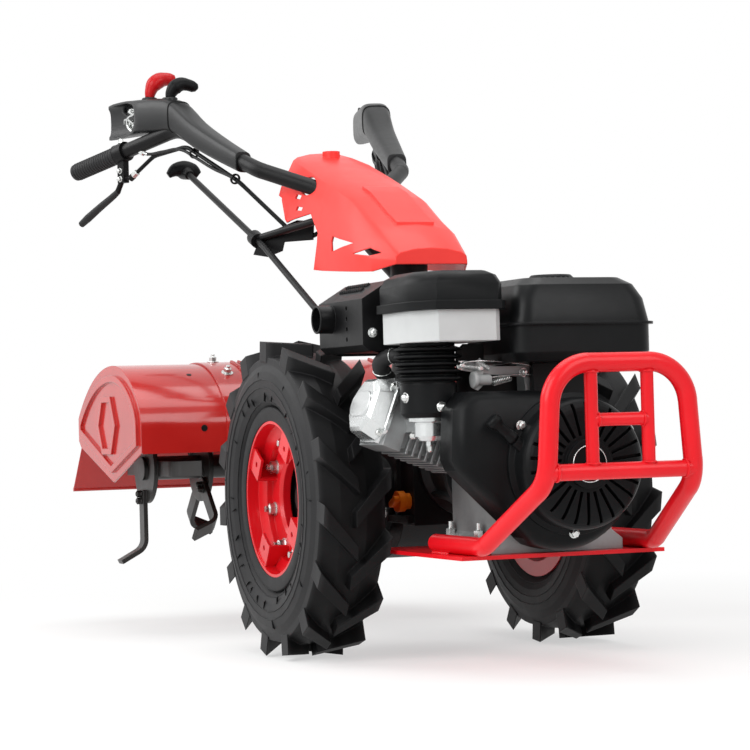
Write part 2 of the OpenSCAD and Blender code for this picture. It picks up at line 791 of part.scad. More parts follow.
module steering_head() {
    base = bar_a + [-12, 0, -23];
    color("#222222") {
        difference() {
            union() {
                translate([column_x, 0, column_top + seat]) cylinder(d = column_d, h = swivel_top - column_top);
                hull() {
                    translate([column_x, 0, column_top + 24]) cylinder(d = column_d - 8, h = 44, $fn = 32);
                    translate([base[0], -62, base[2]]) cube([30, 124, 40]);
                }
                rod(bar_a + [0, -5, -13], guide, 14);
                rod(guide - rod_dir * 12, guide + rod_dir * 12, 28);
            }
            translate([column_x, 0, column_top - 1])
                cylinder(d = swivel_d + 2 * fit, h = swivel_top - column_top - 10);
            both() rod(bar_a + unit(bar_a - bar_b) * 0.5, bar_b, bar_d + 2 * seat);
            rod(guide - rod_dir * 20, guide + rod_dir * 20, shift_d + 3 * seat);
        }
        intersection() {
            translate([bar_a[0] + 12, -50, bar_a[2] - 20]) cube([24, 100, 200]);
            fairing_span(3, fairing_wall + seat);
        }
    }
}

module bar_right() {
    color("#1e1e1e") tube(bar_path, bar_d, bar_bends);
}

// stations of an arm cover: place, width and height, from the front ring over the bend to the open end
function on_arm(t) = bar_c + (bar_dv - bar_c) * t;
cover_ends = [
    concat(on_arm(0.18), [36, 38]),
    concat(on_arm(0.45) + [0, 0, 3], [41, 44]),
    concat(on_arm(0.73) + [0, 1, 9], [47, 51]),
    concat(bar_dv + [3, 2, 22], [54, 60]),
    concat(bar_dv + [-50, -15, 31], [56, 66]),
    concat(bar_dv + [-130, -41, 35], [57, 69]),
    concat(bar_dv + [-210, -67, 38], [console_w, console_h])];
cover_last = len(cover_ends) - 1;
cover_turn = atan2(67, 210);
cover_steps = 3;

function cover_end(i) = cover_ends[max(0, min(cover_last, i))];
function blend(a, b, c, d, t) = (2 * b + (c - a) * t + (2 * a - 5 * b + 4 * c - d) * t * t
    + (3 * b - a - 3 * c + d) * t * t * t) / 2;
function cover_at(u) = let (i = floor(u))
    blend(cover_end(i - 1), cover_end(i), cover_end(i + 1), cover_end(i + 2), u - i);
function square_off(v) = sign(v) * pow(abs(v), 0.55);

// one ring of points round an arm cover
function cover_ring(row, inset) = [for (i = [0:15]) let (t = 22.5 * i + 11.25,
    w = (row[3] / 2 - inset) * square_off(cos(t)), h = (row[4] / 2 - inset) * square_off(sin(t)))
    [row[0] - w * sin(cover_turn), row[1] + w * cos(cover_turn), row[2] + h]];

// closed skin through a list of rings, from the front to the rear
module loft(rings) {
    n = len(rings[0]);
    m = len(rings);
    sides = [for (j = [0:m - 2], i = [0:n - 1]) let (a = j * n + i, b = j * n + (i + 1) % n)
        each [[a, b, b + n], [a, b + n, a + n]]];
    ends = [[for (i = [n - 1:-1:0]) i], [for (i = [0:n - 1]) (m - 1) * n + i]];
    polyhedron([for (r = rings) each r], concat(sides, ends), convexity = 4);
}

red_at = bar_dv + [-89, -28, 70];
black_at = bar_dv + [-25, -7, 63];

module cover(levers) {
    last = cover_last * cover_steps;
    hollow = [cover_at(cover_last - 1), cover_at(cover_last) + [-8, 0, 0, 0, 0]];
    color("#181818") difference() {
        union() {
            loft([for (i = [0:last]) cover_ring(cover_at(i / cover_steps), 0)]);
            if (levers) for (p = [red_at, black_at]) translate(p - [0, 0, 20]) cylinder(d = 30, h = 20);
        }
        loft([for (row = hollow) cover_ring(row, console_wall)]);
        tube(bar_path, bar_d + 6 * seat, bar_bends, $fn = 24);
    }
}

module console_lever_red() {
    color("#c81a1e") translate(red_at) {
        cylinder(d = 20, h = 8);
        translate([0, 0, 7]) rod([0, 0, 0], [0, 2, 24], 17);
        translate([0, 2, 32]) sphere(d = 25);
        rod([0, 2, 32], [2, 34, 42], 23);
        translate([2, 34, 42]) sphere(d = 24);
    }
}

module console_lever_black() {
    color("#171717") translate(black_at) {
        cylinder(d = 20, h = 8);
        translate([0, 0, 7]) rod([0, 0, 0], [0, 4, 16], 15);
        translate([0, 4, 24]) sphere(d = 21);
        rod([0, 4, 24], [3, 42, 28], 19);
        translate([3, 42, 28]) sphere(d = 20);
    }
}

cable_at = lever_at + [24, 14, -47];
cable_end = bar_a + [-12 - seat, 23, -15];
cable_path = [cable_at, lever_at + [76, 40, -14], on_arm(0.9) + [0, 1, -26], on_arm(0.3) + [0, 8, -44],
    bar_a + [-160, -25, -55], cable_end + [-60, 0, 0], cable_end];

module cable_right() {
    color("#131313") tube(cable_path, cable_d, [40, 60, 80, 60, 60]);
}

module grip_right() {
    start = bar_e - grip_dir * (grip_l - grip_end_pad);
    color("#151515") difference() {
        rod(start, bar_e + grip_dir * grip_end_pad, grip_d);
        rod(start - grip_dir, bar_e, bar_d + 2 * fit);
    }
}

module hand_lever_right() {
    at = lever_at;
    cable_dir = unit(cable_path[1] - cable_at);
    color("#1c1c1c") {
        difference() {
            union() {
                rod(at - grip_dir * 12, at + grip_dir * 12, bar_d + 10);
                translate(at + [0, 0, -36]) rotate([0, 0, atan2(grip_dir[1], grip_dir[0])])
                    cube([18, 14, 46], center = true);
            }
            rod(at - grip_dir * 20, at + grip_dir * 20, bar_d + 2 * fit);
        }
        rod(at + [0, 0, -52], cable_at - cable_dir * 3, 9);
        rod(cable_at - cable_dir * 10, cable_at, 13);
        tube([at + [0, 0, -48], at + grip_dir * 18 + [0, 0, -72], at + grip_dir * 132 + [0, 0, -106]],
            11, [18]);
    }
}

module shift_rod() {
    color("#1a1a1a") {
        rod(rod_top, rod_mid, shift_d);
        rod(rod_mid, rod_foot, shift_d);
        translate(rod_mid) sphere(d = shift_d + 0.6);
        aimed(rod_top - rod_dir * 26, rod_dir) rotate_extrude()
            polygon(concat([[0, 0], [9, 0], [10, 4]], arc([0, 34], 18, -20, 80, 8), [[0, 52]]));
    }
}

// tiller
module hood_form(t) {
    top = [hood_x, hood_top];
    difference() {
        translate(top - [0, back_r]) circle(back_r - t, $fn = 128);
        translate([hood_x, hood_top - 900]) square(1000);
    }
    difference() {
        translate(top - [0, crown_r]) circle(crown_r - t);
        translate(top - [0, crown_r]) rotate(45) translate([-600, -1200]) square(1200);
    }
    translate(nose) circle(nose_r - t);
    translate([hood_x - 1, -40]) square([nose[0] + nose_r - t - hood_x + 1, nose[1] + 40]);
}

module hood_sheet(t, y0, y1, back) {
    across(y0, y1) difference() {
        hood_form(t);
        hood_form(t + hood_t);
        translate([hood_x - 500, -700]) square([1000, 700 + hood_low]);
        translate([back - 400, -600]) square([400, 1200]);
    }
}

module end_outline(t) {
    difference() {
        hood_form(t);
        translate([hood_x - 247 - 400 + t, -600]) square([400, 1200]);
        polygon([[-1200, -700], [-1200, 98 + t], [hood_x - 247, 98 + t], [hood_x - 233 + t, 83 + t],
            [rotor_x + 3, rotor_up - 27 + t], [nose[0] + nose_r, hood_low + t], [0, hood_low + 60 + t],
            [0, -700]]);
    }
}

module centre_hood() {
    hinge_at = [hinge_x, 0, hinge_z];
    color("#b8262a") difference() {
        union() {
            difference() {
                hood_sheet(0, -centre_half, centre_half, hinge_x);
                translate(hinge_at) rotate([90, 0, 0])
                    cylinder(d = knuckle_d + 3, h = 2 * knuckle_half + 4, center = true);
                translate([rotor_x, -case_half_y - 1, 0]) cube([400, 2 * case_half_y + 2, rotor_up + 51]);
            }
            both() translate(hinge_at + [0, knuckle_half + 33, 0]) rotate([90, 0, 0])
                cylinder(d = knuckle_d, h = 64, center = true);
        }
        translate(hinge_at) rotate([90, 0, 0]) cylinder(d = hinge_pin_d + 2 * fit, h = 420, center = true);
    }
}

module side_hood_right() {
    t = hood_t + seat;
    plate = -tiller_half + 5;
    boss = [rotor_x - 26, rotor_up + 82];
    color("#b8262a") {
        hood_sheet(t, plate + hood_t - 1, -centre_half + 20, hinge_x - 9);
        across(plate, plate + hood_t) end_outline(t);
        across(-tiller_half, plate + 1) difference() {
            end_outline(t + 18);
            end_outline(t + 30);
        }
        across(-tiller_half, plate + 1) difference() {
            polygon([for (i = [0:5]) boss + 62 * turned(60 * i)]);
            polygon([for (i = [0:5]) boss + 50 * turned(60 * i)]);
        }
    }
}

module rear_flap() {
    half = tiller_half - 5 - hood_t - 6;
    knee = [hinge_x - 71, hinge_z - 98];
    low = [hinge_x - 146, hinge_z - 186];
    hinge_at = [hinge_x, 0, hinge_z];
    color("#a82226") {
        across(-half, half) polygon([[hinge_x - 15, hinge_z - 8], knee, low, low + [4, 0], knee + [4, 3],
            [hinge_x - 14, hinge_z - 12]]);
        across(-knuckle_half + 1, knuckle_half - 1) polygon([[hinge_x, hinge_z], [hinge_x - 17, hinge_z - 9],
            [hinge_x - 16, hinge_z - 13], [hinge_x, hinge_z - 6]]);
        translate([low[0] + 2, 0, low[1]]) rotate([90, 0, 0]) cylinder(d = 8, h = 2 * half, center = true);
        translate(hinge_at) rotate([90, 0, 0]) cylinder(d = knuckle_d, h = 2 * knuckle_half, center = true);
        translate(hinge_at) rotate([90, 0, 0])
            cylinder(d = hinge_pin_d, h = 2 * knuckle_half + 134, center = true);
    }
}

module tiller_case() {
    at = [rotor_x, 0, rotor_up];
    y = case_half_y;
    color("#2a2a2a") difference() {
        union() {
            translate(at) rotate([90, 0, 0]) cylinder(d = 150, h = 2 * y, center = true);
            translate([rotor_x, -y, rotor_up - 50]) cube([gearbox_rear - rotor_x - 90, 2 * y, 100]);
            translate([gearbox_rear - 92, 0, rotor_up]) rotate([0, 90, 0]) cylinder(d1 = 110, d2 = 130, h = 80);
            translate([gearbox_rear - 14, 0, rotor_up]) rotate([0, 90, 0]) cylinder(d = 170, h = 14);
            intersection() {
                translate([rotor_x - 56, -y, rotor_up]) cube([60, 2 * y, 300]);
                across(-y - 10, y + 10) hood_form(hood_t + seat);
            }
        }
        translate(at) rotate([90, 0, 0]) cylinder(d = rotor_d + 2 * fit, h = 2 * y + 2, center = true);
    }
}

// one bent blade, drawn as [across, radius] from the flange's face
tine_blade = 38;
tine_root = sqrt(pow(tine_r, 2) - pow(tine_w / 2, 2)) - (tine_bend + tine_t) * sin(tine_turn)
    - tine_blade * cos(tine_turn);
tine_bend_at = [tine_t + tine_bend, tine_root];
tine_out = tine_blade * [sin(tine_turn), cos(tine_turn)];
tine_face = arc(tine_bend_at, tine_bend, 180, 180 - tine_turn, 5);
tine_back = arc(tine_bend_at, tine_bend + tine_t, 180 - tine_turn, 180, 5);

module tine(side) {
    rotate([90, 0, 90]) translate([0, 0, -tine_w / 2]) linear_extrude(tine_w) scale([side, 1])
        polygon(concat([[0, 40], [tine_t, 40]], tine_face, [tine_face[5] + tine_out, tine_back[0] + tine_out],
            tine_back));
}

module tine_rotor() {
    reach = flange_first + flange_pitch * 2;
    color("#333333") translate([rotor_x, 0, rotor_up]) {
        rotate([90, 0, 0]) cylinder(d = rotor_d, h = 2 * reach + 20, center = true);
        for (s = [-1, 1], k = [0:2]) translate([0, s * (flange_first + k * flange_pitch), 0]) {
            rotate([90, 0, 0]) cylinder(d = flange_d, h = 8, center = true);
            for (j = [0:3]) let (way = j % 2 == 0 ? s : -s)
                rotate([0, 180 + j * 90 - (2 - k) * 45, 0]) translate([0, way * 3, 0]) tine(way);
        }
    }
}

module depth_skid() {
    color("#252525") across(-skid_t / 2, skid_t / 2) polygon([[rotor_x - 75, rotor_up + 10],
        [skid_x, rotor_up + 10], [skid_x, -wheel_r], [skid_x - 20, -wheel_r], [skid_x - 24, rotor_up + 34],
        [rotor_x - 70, rotor_up + 34]]);
}

placed() tyre();  // tyre_right
placed() left() tyre();  // tyre_left
placed() rim();  // rim_right
placed() left() rim();  // rim_left
placed() hub();  // hub_right
placed() left() hub();  // hub_left
placed() gearbox();
placed() bell_housing();
placed() column();
placed() base_plate();
placed() bumper();
placed() engine_block();
placed() blower_housing();
placed() recoil_starter();
placed() pull_handle();
placed() rocker_cover();
placed() fuel_tank();
placed() tank_cap();
placed() air_box();
placed() air_cover();
placed() intake_sleeve();
placed() carburettor();
placed() muffler();
placed() oil_cap();
placed() steering_head();
placed() fairing();
placed() bar_right();
placed() left() bar_right();  // bar_left
placed() cover(true);  // cover_right
placed() left() cover(false);  // cover_left
placed() console_lever_red();
placed() console_lever_black();
placed() cable_right();
placed() left() cable_right();  // cable_left
placed() grip_right();
placed() left() grip_right();  // grip_left
placed() hand_lever_right();
placed() left() hand_lever_right();  // hand_lever_left
placed() shift_rod();
placed() tiller_case();
placed() centre_hood();
placed() side_hood_right();
placed() left() side_hood_right();  // side_hood_left
placed() rear_flap();
placed() tine_rotor();
placed() depth_skid();
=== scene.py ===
import bmesh
import bpy
import math
import random
from mathutils import Matrix, Vector


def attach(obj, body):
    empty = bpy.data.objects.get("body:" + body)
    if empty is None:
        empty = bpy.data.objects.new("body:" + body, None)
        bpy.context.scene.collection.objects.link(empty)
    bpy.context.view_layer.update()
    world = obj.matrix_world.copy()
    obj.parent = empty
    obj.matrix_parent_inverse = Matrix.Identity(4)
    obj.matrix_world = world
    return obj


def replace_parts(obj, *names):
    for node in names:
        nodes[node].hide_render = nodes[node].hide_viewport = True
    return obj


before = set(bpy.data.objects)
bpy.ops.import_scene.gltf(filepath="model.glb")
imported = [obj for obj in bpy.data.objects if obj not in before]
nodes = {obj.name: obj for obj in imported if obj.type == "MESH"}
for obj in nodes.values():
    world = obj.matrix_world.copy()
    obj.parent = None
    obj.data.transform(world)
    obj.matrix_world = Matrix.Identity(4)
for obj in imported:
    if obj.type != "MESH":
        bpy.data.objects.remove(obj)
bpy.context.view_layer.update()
print("frame loaded:", len(nodes), "nodes")

# the axle's centre in the shared frame; pieces below are laid out from it
axleSpot = Vector((0.1484142, 0.0, 0.26))
ahead = Vector((1, 0, 0))
behind = Vector((-1, 0, 0))
leftward = Vector((0, 1, 0))
rightward = Vector((0, -1, 0))
upward = Vector((0, 0, 1))
downward = Vector((0, 0, -1))
sides = ((-1, "Right"), (1, "Left"))


def spot(point):  # a point given in millimetres from the axle's centre
    return axleSpot + Vector(point) / 1000


class Wire:
    # a socket that can be used in sums and products
    def __init__(self, builder, socket):
        self.builder = builder
        self.socket = socket

    def maths(self, operation, *terms):
        return self.builder.node("ShaderNodeMath", dict(operation=operation), dict(enumerate(terms)))

    def __add__(self, other):
        return self.maths("ADD", self, other)

    def __radd__(self, other):
        return self.maths("ADD", other, self)

    def __sub__(self, other):
        return self.maths("SUBTRACT", self, other)

    def __rsub__(self, other):
        return self.maths("SUBTRACT", other, self)

    def __mul__(self, other):
        return self.maths("MULTIPLY", self, other)

    def __rmul__(self, other):
        return self.maths("MULTIPLY", other, self)

    def __abs__(self):
        return self.maths("ABSOLUTE", self)

    def larger(self, other):
        return self.maths("MAXIMUM", self, other)

    def smooth(self, low, high):
        values = {"Value": self, "From Min": low, "From Max": high}
        return self.builder.node("ShaderNodeMapRange", dict(interpolation_type="SMOOTHSTEP"), values)


class Builder:
    # adds nodes to one tree
    def __init__(self, tree):
        self.tree = tree

    def node(self, kind, settings=None, values=None, out=0):
        n = self.tree.nodes.new(kind)
        for key, value in (settings or {}).items():
            setattr(n, key, value)
        self.fill(n, values or {})
        return Wire(self, n.outputs[out])

    def fill(self, n, values):
        # a list links several wires to one socket
        for key, value in values.items():
            for v in value if isinstance(value, list) else [value]:
                if isinstance(v, Wire):
                    self.tree.links.new(v.socket, n.inputs[key])
                else:
                    n.inputs[key].default_value = v


def linear(hexColour):
    v = [int(hexColour[i:i + 2], 16) / 255 for i in (1, 3, 5)]
    return tuple(c / 12.92 if c <= 0.04045 else ((c + 0.055) / 1.055) ** 2.4 for c in v) + (1.0,)


class Finish(Builder):
    # one material, built node by node
    def __init__(self, name):
        self.material = bpy.data.materials.new(name)
        self.material.use_nodes = True
        super().__init__(self.material.node_tree)
        self.coords = self.node("ShaderNodeTexCoord", out="Object")

    def noise(self, scale, detail=4.0, rough=0.55, stretch=None):
        where = self.coords
        if stretch:
            where = self.node("ShaderNodeMapping", None, {"Vector": where, "Scale": stretch})
        values = {"Vector": where, "Scale": scale, "Detail": detail, "Roughness": rough}
        return self.node("ShaderNodeTexNoise", None, values)

    def grain(self, scale):  # leathery cells of a moulded surface
        return self.node("ShaderNodeTexVoronoi", dict(feature="F1"), {"Vector": self.coords, "Scale": scale})

    def mix(self, factor, a, b):  # the colour sockets of a Mix node are 6, 7 and output 2
        return self.node("ShaderNodeMix", dict(data_type="RGBA"), {0: factor, 6: a, 7: b}, 2)

    def bump(self, height, strength, distance, edge=0.0):
        values = {"Height": height, "Strength": strength, "Distance": distance}
        if edge:
            values["Normal"] = self.node("ShaderNodeBevel", dict(samples=6), {"Radius": edge})
        return self.node("ShaderNodeBump", None, values)

    def axis(self, letter):  # metres along one axis; Z is the height above the ground
        return self.node("ShaderNodeSeparateXYZ", None, {"Vector": self.coords}, letter)

    def shade(self, **sockets):
        values = {key.replace("_", " "): value for key, value in sockets.items()}
        self.fill(self.tree.nodes["Principled BSDF"], values)
        return self.material


def glossPaint(name, colour, deep, roughness=0.3, coat=0.2, gloss=0.3, dust=0.1, edge=0.0022):
    f = Finish(name)
    cloud = f.noise(5.0, 4.0)
    film = f.noise(24.0, 6.0, 0.65)
    scratch = f.noise(60.0, 5.0, 0.7, (1.0, 6.0, 1.0))
    low = 1.0 - f.axis("Z").smooth(0.02, 0.5)       # more dirt near the ground
    base = f.mix(cloud.smooth(0.3, 0.75), linear(colour), linear(deep))
    base = f.mix(film.smooth(0.58, 0.85) * (low * 0.7 + 0.3) * dust, base, linear("#6d5f53"))
    base = f.mix(scratch.smooth(0.74, 0.8) * 0.1, base, linear("#f0b0a8"))
    peel = f.noise(170.0, 2.0)
    return f.shade(Base_Color=base, Roughness=film * 0.16 + (roughness - 0.06), Specular_IOR_Level=gloss,
                   Coat_Weight=coat, Coat_Roughness=0.08, Normal=f.bump(peel, 0.05, 0.0005, edge))


def satinBlack(name, colour="#0a0a0b", lift="#131314", roughness=0.38, gloss=0.15, grain=300.0, strength=0.08,
               dust=0.1, edge=0.002):
    f = Finish(name)
    cloud = f.noise(9.0, 5.0)
    film = f.noise(36.0, 6.0, 0.7)
    low = 1.0 - f.axis("Z").smooth(0.05, 0.6)
    base = f.mix(cloud.smooth(0.3, 0.75), linear(colour), linear(lift))
    base = f.mix(film.smooth(0.6, 0.9) * (low * 0.7 + 0.3) * dust, base, linear("#5b544b"))
    fine = f.noise(grain, 3.0)
    return f.shade(Base_Color=base, Roughness=film * 0.2 + (roughness - 0.1), Specular_IOR_Level=gloss,
                   Normal=f.bump(fine, strength, 0.0006, edge))


def castMetal(name, colour, shade, roughness=0.4, metal=0.8, grain=420.0, pits=0.3, oily=0.3, edge=0.0016):
    f = Finish(name)
    cloud = f.noise(12.0, 5.0)
    oil = f.noise(29.0, 6.0, 0.7)
    base = f.mix(cloud.smooth(0.25, 0.8), linear(colour), linear(shade))
    base = f.mix(oil.smooth(0.62, 0.85) * oily, base, linear("#3b3732"))
    fine = f.noise(grain, 3.0, 0.6)
    return f.shade(Base_Color=base, Roughness=oil * 0.22 + (roughness - 0.1), Metallic=metal,
                   Normal=f.bump(fine, pits, 0.0005, edge))


rubber = dict(midPlane=0.236, wallFrom=0.046, wallTo=0.058)


def tyreRubber(name):
    f = Finish(name)
    cloud = f.noise(13.0, 5.0)
    film = f.noise(48.0, 6.0, 0.7)
    base = f.mix(cloud.smooth(0.3, 0.75), linear("#0b0b0c"), linear("#131314"))
    # painted light: greyer side walls, away from each wheel's mid plane, standing in for the light the side
    # walls catch
    wall = abs(abs(f.axis("Y")) - rubber["midPlane"]).smooth(rubber["wallFrom"], rubber["wallTo"])
    base = f.mix(wall * (cloud * 0.4 + 0.5), base, linear("#2f2f30"))
    base = f.mix(film.smooth(0.58, 0.9) * 0.16, base, linear("#4e4a45"))
    fine = f.noise(460.0, 3.0)
    return f.shade(Base_Color=base, Roughness=film * 0.2 + 0.42, Specular_IOR_Level=0.15,
                   Normal=f.bump(fine, 0.2, 0.0006, 0.003))


def mouldedPlastic(name, colour, shade, roughness=0.4, gloss=0.1, cells=900.0, strength=0.1, edge=0.002):
    f = Finish(name)
    cloud = f.noise(8.0, 4.0)
    scuff = f.noise(45.0, 6.0, 0.7, (1.0, 1.0, 3.0))
    base = f.mix(cloud.smooth(0.3, 0.75), linear(colour), linear(shade))
    base = f.mix(scuff.smooth(0.66, 0.9) * 0.06, base, linear("#7b7773"))
    return f.shade(Base_Color=base, Roughness=scuff * 0.2 + (roughness - 0.1), Specular_IOR_Level=gloss,
                   Normal=f.bump(f.grain(cells), strength, 0.0005, edge))


paints = dict(
    wheelRed=dict(colour="#d8141f", deep="#c60e18"),
    tubeRed=dict(colour="#e0121f", deep="#d10c18", coat=0.12, gloss=0.22, dust=0.06, edge=0.0),
    tillerRed=dict(colour="#b4231f", deep="#a31b18", roughness=0.16, coat=0.35, gloss=0.35, dust=0.12),
    fairingRed=dict(colour="#f4403a", deep="#ee3833", roughness=0.32, coat=0.06, gloss=0.16, dust=0.03,
                    edge=0.003))
blacks = dict(
    satinBlack=dict(),
    castBlack=dict(colour="#101112", lift="#1c1d1e", roughness=0.5, gloss=0.25, grain=260.0, strength=0.35,
                   dust=0.16),
    steelBlack=dict(colour="#161413", lift="#221f1d", roughness=0.4, gloss=0.5, grain=320.0, strength=0.2,
                    dust=0.2))
metals = dict(
    rawAlloy=dict(colour="#9b9d9d", shade="#787a7b", roughness=0.45, metal=0.6, pits=0.35, oily=0.45),
    brightAlloy=dict(colour="#e2e4e4", shade="#cdd0d0", roughness=0.24, metal=0.9, grain=380.0, pits=0.03,
                     oily=0.05, edge=0.002),
    zincBright=dict(colour="#dfe1e0", shade="#bfc1be", roughness=0.25, metal=0.95, grain=900.0, pits=0.02,
                    oily=0.08, edge=0.0006))
plastics = dict(
    blackPlastic=dict(colour="#0b0c0d", shade="#131415"),
    tankBlack=dict(colour="#0a0b0c", shade="#121314", roughness=0.32, gloss=0.14, cells=1200.0, strength=0.04,
                   edge=0.003),
    coverPlastic=dict(colour="#0f1011", shade="#191a1b", roughness=0.36, gloss=0.28, cells=800.0, edge=0.003),
    palePlastic=dict(colour="#bfc1c1", shade="#b3b5b5", roughness=0.45),
    orangePlastic=dict(colour="#ea7a1c", shade="#d96a14", roughness=0.32),
    redPlastic=dict(colour="#b31015", shade="#960b10", roughness=0.3, gloss=0.2),
    gripRubber=dict(colour="#1a1a1b", shade="#232324", roughness=0.55, gloss=0.25, cells=420.0, strength=0.3))

finishes = {"tyreRubber": tyreRubber("tyreRubber")}
makers = ((glossPaint, paints), (satinBlack, blacks), (castMetal, metals), (mouldedPlastic, plastics))
for maker, looks in makers:
    for name, look in looks.items():
        finishes[name] = maker(name, **look)

finishOf = {
    "tyreRubber": ["tyre_right", "tyre_left"],
    "wheelRed": ["rim_right", "rim_left"],
    "tubeRed": ["base_plate", "bumper"],
    "tillerRed": ["centre_hood", "side_hood_right", "side_hood_left", "rear_flap"],
    "fairingRed": ["fairing"],
    "satinBlack": ["hub_right", "hub_left", "steering_head", "bar_right", "bar_left", "hand_lever_right",
                   "hand_lever_left", "shift_rod", "depth_skid", "column", "muffler"],
    "castBlack": ["gearbox", "bell_housing", "tiller_case"],
    "steelBlack": ["tine_rotor"],
    "rawAlloy": ["engine_block"],
    "brightAlloy": ["rocker_cover", "carburettor"],
    "blackPlastic": ["blower_housing", "recoil_starter", "tank_cap", "air_cover", "intake_sleeve",
                     "pull_handle", "console_lever_black", "cable_right", "cable_left"],
    "tankBlack": ["fuel_tank"],
    "redPlastic": ["console_lever_red"],
    "coverPlastic": ["cover_right", "cover_left"],
    "palePlastic": ["air_box"],
    "orangePlastic": ["oil_cap"],
    "gripRubber": ["grip_right", "grip_left"],
}
for finish, names in finishOf.items():
    for name in names:
        node = nodes[name]
        node.data.materials.clear()
        node.data.materials.append(finishes[finish])
print("finishes on the CAD nodes")


def keep(name, mesh, finish, body, paint=True):
    piece = bpy.data.objects.new(name, mesh)
    bpy.context.scene.collection.objects.link(piece)
    if paint:
        mesh.materials.clear()
        mesh.materials.append(finishes[finish])
    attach(piece, body)
    return piece


class Graph(Builder):
    # one geometry tree with named inputs: sizes, and None for a material
    def __init__(self, name, **inputs):
        super().__init__(bpy.data.node_groups.new(name, "GeometryNodeTree"))
        face = self.tree.interface
        face.new_socket("Geometry", in_out="INPUT", socket_type="NodeSocketGeometry")
        self.sockets = {}
        for key, value in inputs.items():
            kind = "NodeSocketMaterial" if value is None else "NodeSocketFloat"
            socket = face.new_socket(key, in_out="INPUT", socket_type=kind)
            if value is not None:
                socket.default_value = value
            self.sockets[key] = socket.identifier
        face.new_socket("Geometry", in_out="OUTPUT", socket_type="NodeSocketGeometry")
        self.source = self.tree.nodes.new("NodeGroupInput")

    def given(self, key):
        return Wire(self, self.source.outputs[key])

    def close(self, shape):
        self.fill(self.tree.nodes.new("NodeGroupOutput"), {0: shape})
        return self

    def cylinder(self, corners, radius, depth):
        values = {"Vertices": corners, "Radius": radius, "Depth": depth}
        return self.node("GeometryNodeMeshCylinder", None, values)

    def cone(self, corners, low, high, depth):
        values = {"Vertices": corners, "Radius Bottom": low, "Radius Top": high, "Depth": depth}
        return self.node("GeometryNodeMeshCone", None, values)

    def hoop(self, points, radius):
        return self.node("GeometryNodeCurvePrimitiveCircle", None, {"Resolution": points, "Radius": radius})

    def swept(self, path, section, caps=False):
        values = {"Curve": path, "Profile Curve": section, "Fill Caps": caps}
        return self.node("GeometryNodeCurveToMesh", None, values)

    def lifted(self, shape, z):
        place = self.node("ShaderNodeCombineXYZ", None, {"Z": z})
        return self.node("GeometryNodeTransform", None, {"Geometry": shape, "Translation": place})

    def stretched(self, shape, x, y, z):
        size = self.node("ShaderNodeCombineXYZ", None, {"X": x, "Y": y, "Z": z})
        return self.node("GeometryNodeTransform", None, {"Geometry": shape, "Scale": size})

    def joined(self, *shapes):
        return self.node("GeometryNodeJoinGeometry", None, {"Geometry": list(shapes)})

    def named(self, name, kind):
        return self.node("GeometryNodeInputNamedAttribute", dict(data_type=kind), {"Name": name})

    def spread(self, shape, smooth=False):
        # one copy on each point, its Z along "aim", its X near "side", scaled by "grow"
        align = "FunctionNodeAlignRotationToVector"
        turn = self.node(align, dict(axis="Z"), {"Vector": self.named("aim", "FLOAT_VECTOR")})
        values = {"Rotation": turn, "Vector": self.named("side", "FLOAT_VECTOR")}
        turn = self.node(align, dict(axis="X", pivot_axis="Z"), values)
        values = {"Points": self.given("Geometry"), "Instance": shape, "Rotation": turn,
                  "Scale": self.named("grow", "FLOAT")}
        solid = self.node("GeometryNodeInstanceOnPoints", None, values)
        solid = self.node("GeometryNodeRealizeInstances", None, {"Geometry": solid})
        solid = self.node("GeometryNodeSetShadeSmooth", None, {"Geometry": solid, "Shade Smooth": smooth})
        values = {"Geometry": solid, "Material": self.given("finish")}
        return self.close(self.node("GeometryNodeSetMaterial", None, values))


def softGraph():
    # joins loose triangles and shades them smooth, apart from edges sharper than the limit
    g = Graph("softEdges", limit=0.5)
    values = {"Geometry": g.given("Geometry"), "Distance": 0.00002}
    shape = g.node("GeometryNodeMergeByDistance", None, values)
    shape = g.node("GeometryNodeSetShadeSmooth", None, {"Geometry": shape})
    angle = g.node("GeometryNodeInputMeshEdgeAngle", out="Unsigned Angle")
    gentle = g.node("FunctionNodeCompare", dict(operation="LESS_THAN"), {0: angle, 1: g.given("limit")})
    values = {"Geometry": shape, "Shade Smooth": gentle}
    return g.close(g.node("GeometryNodeSetShadeSmooth", dict(domain="EDGE"), values))


softEdges = softGraph()
softAngles = {"fairing": 26.0, "fuel_tank": 26.0, "air_cover": 40.0, "air_box": 40.0}
for name, angle in softAngles.items():
    soft = nodes[name].modifiers.new("softEdges", "NODES")
    soft.node_group = softEdges.tree
    soft[softEdges.sockets["limit"]] = math.radians(angle)


def boltGraph():
    # washer, hexagon, crowned top and the end of the stud
    g = Graph("hexBolt", finish=None, head=0.013, tall=0.008, washer=0.022, stud=0.0006)
    head = g.given("head")
    tall = g.given("tall")
    stud = g.given("stud")
    disc = g.lifted(g.cylinder(18, g.given("washer") * 0.5, 0.0018), 0.0008)
    hexagon = g.lifted(g.cylinder(6, head * 0.577, tall), tall * 0.5 + 0.0016)  # head is across the flats
    crown = g.lifted(g.cone(12, head * 0.5, head * 0.34, 0.0014), tall + 0.0016)
    stem = g.lifted(g.cylinder(12, head * 0.3, stud), stud * 0.5 + (tall + 0.0028))
    return g.spread(g.joined(disc, hexagon, crown, stem))


def domeGraph():
    # low domed head, as of a carriage bolt or a pan screw
    g = Graph("domedBolt", finish=None, wide=0.016, tall=0.006)
    wide = g.given("wide")
    ball = g.node("GeometryNodeMeshUVSphere", None, {"Segments": 16, "Rings": 10, "Radius": 0.5})
    dome = g.stretched(ball, wide, wide, g.given("tall") * 2.0)
    return g.spread(g.joined(dome, g.cylinder(20, wide * 0.62, 0.002)), True)


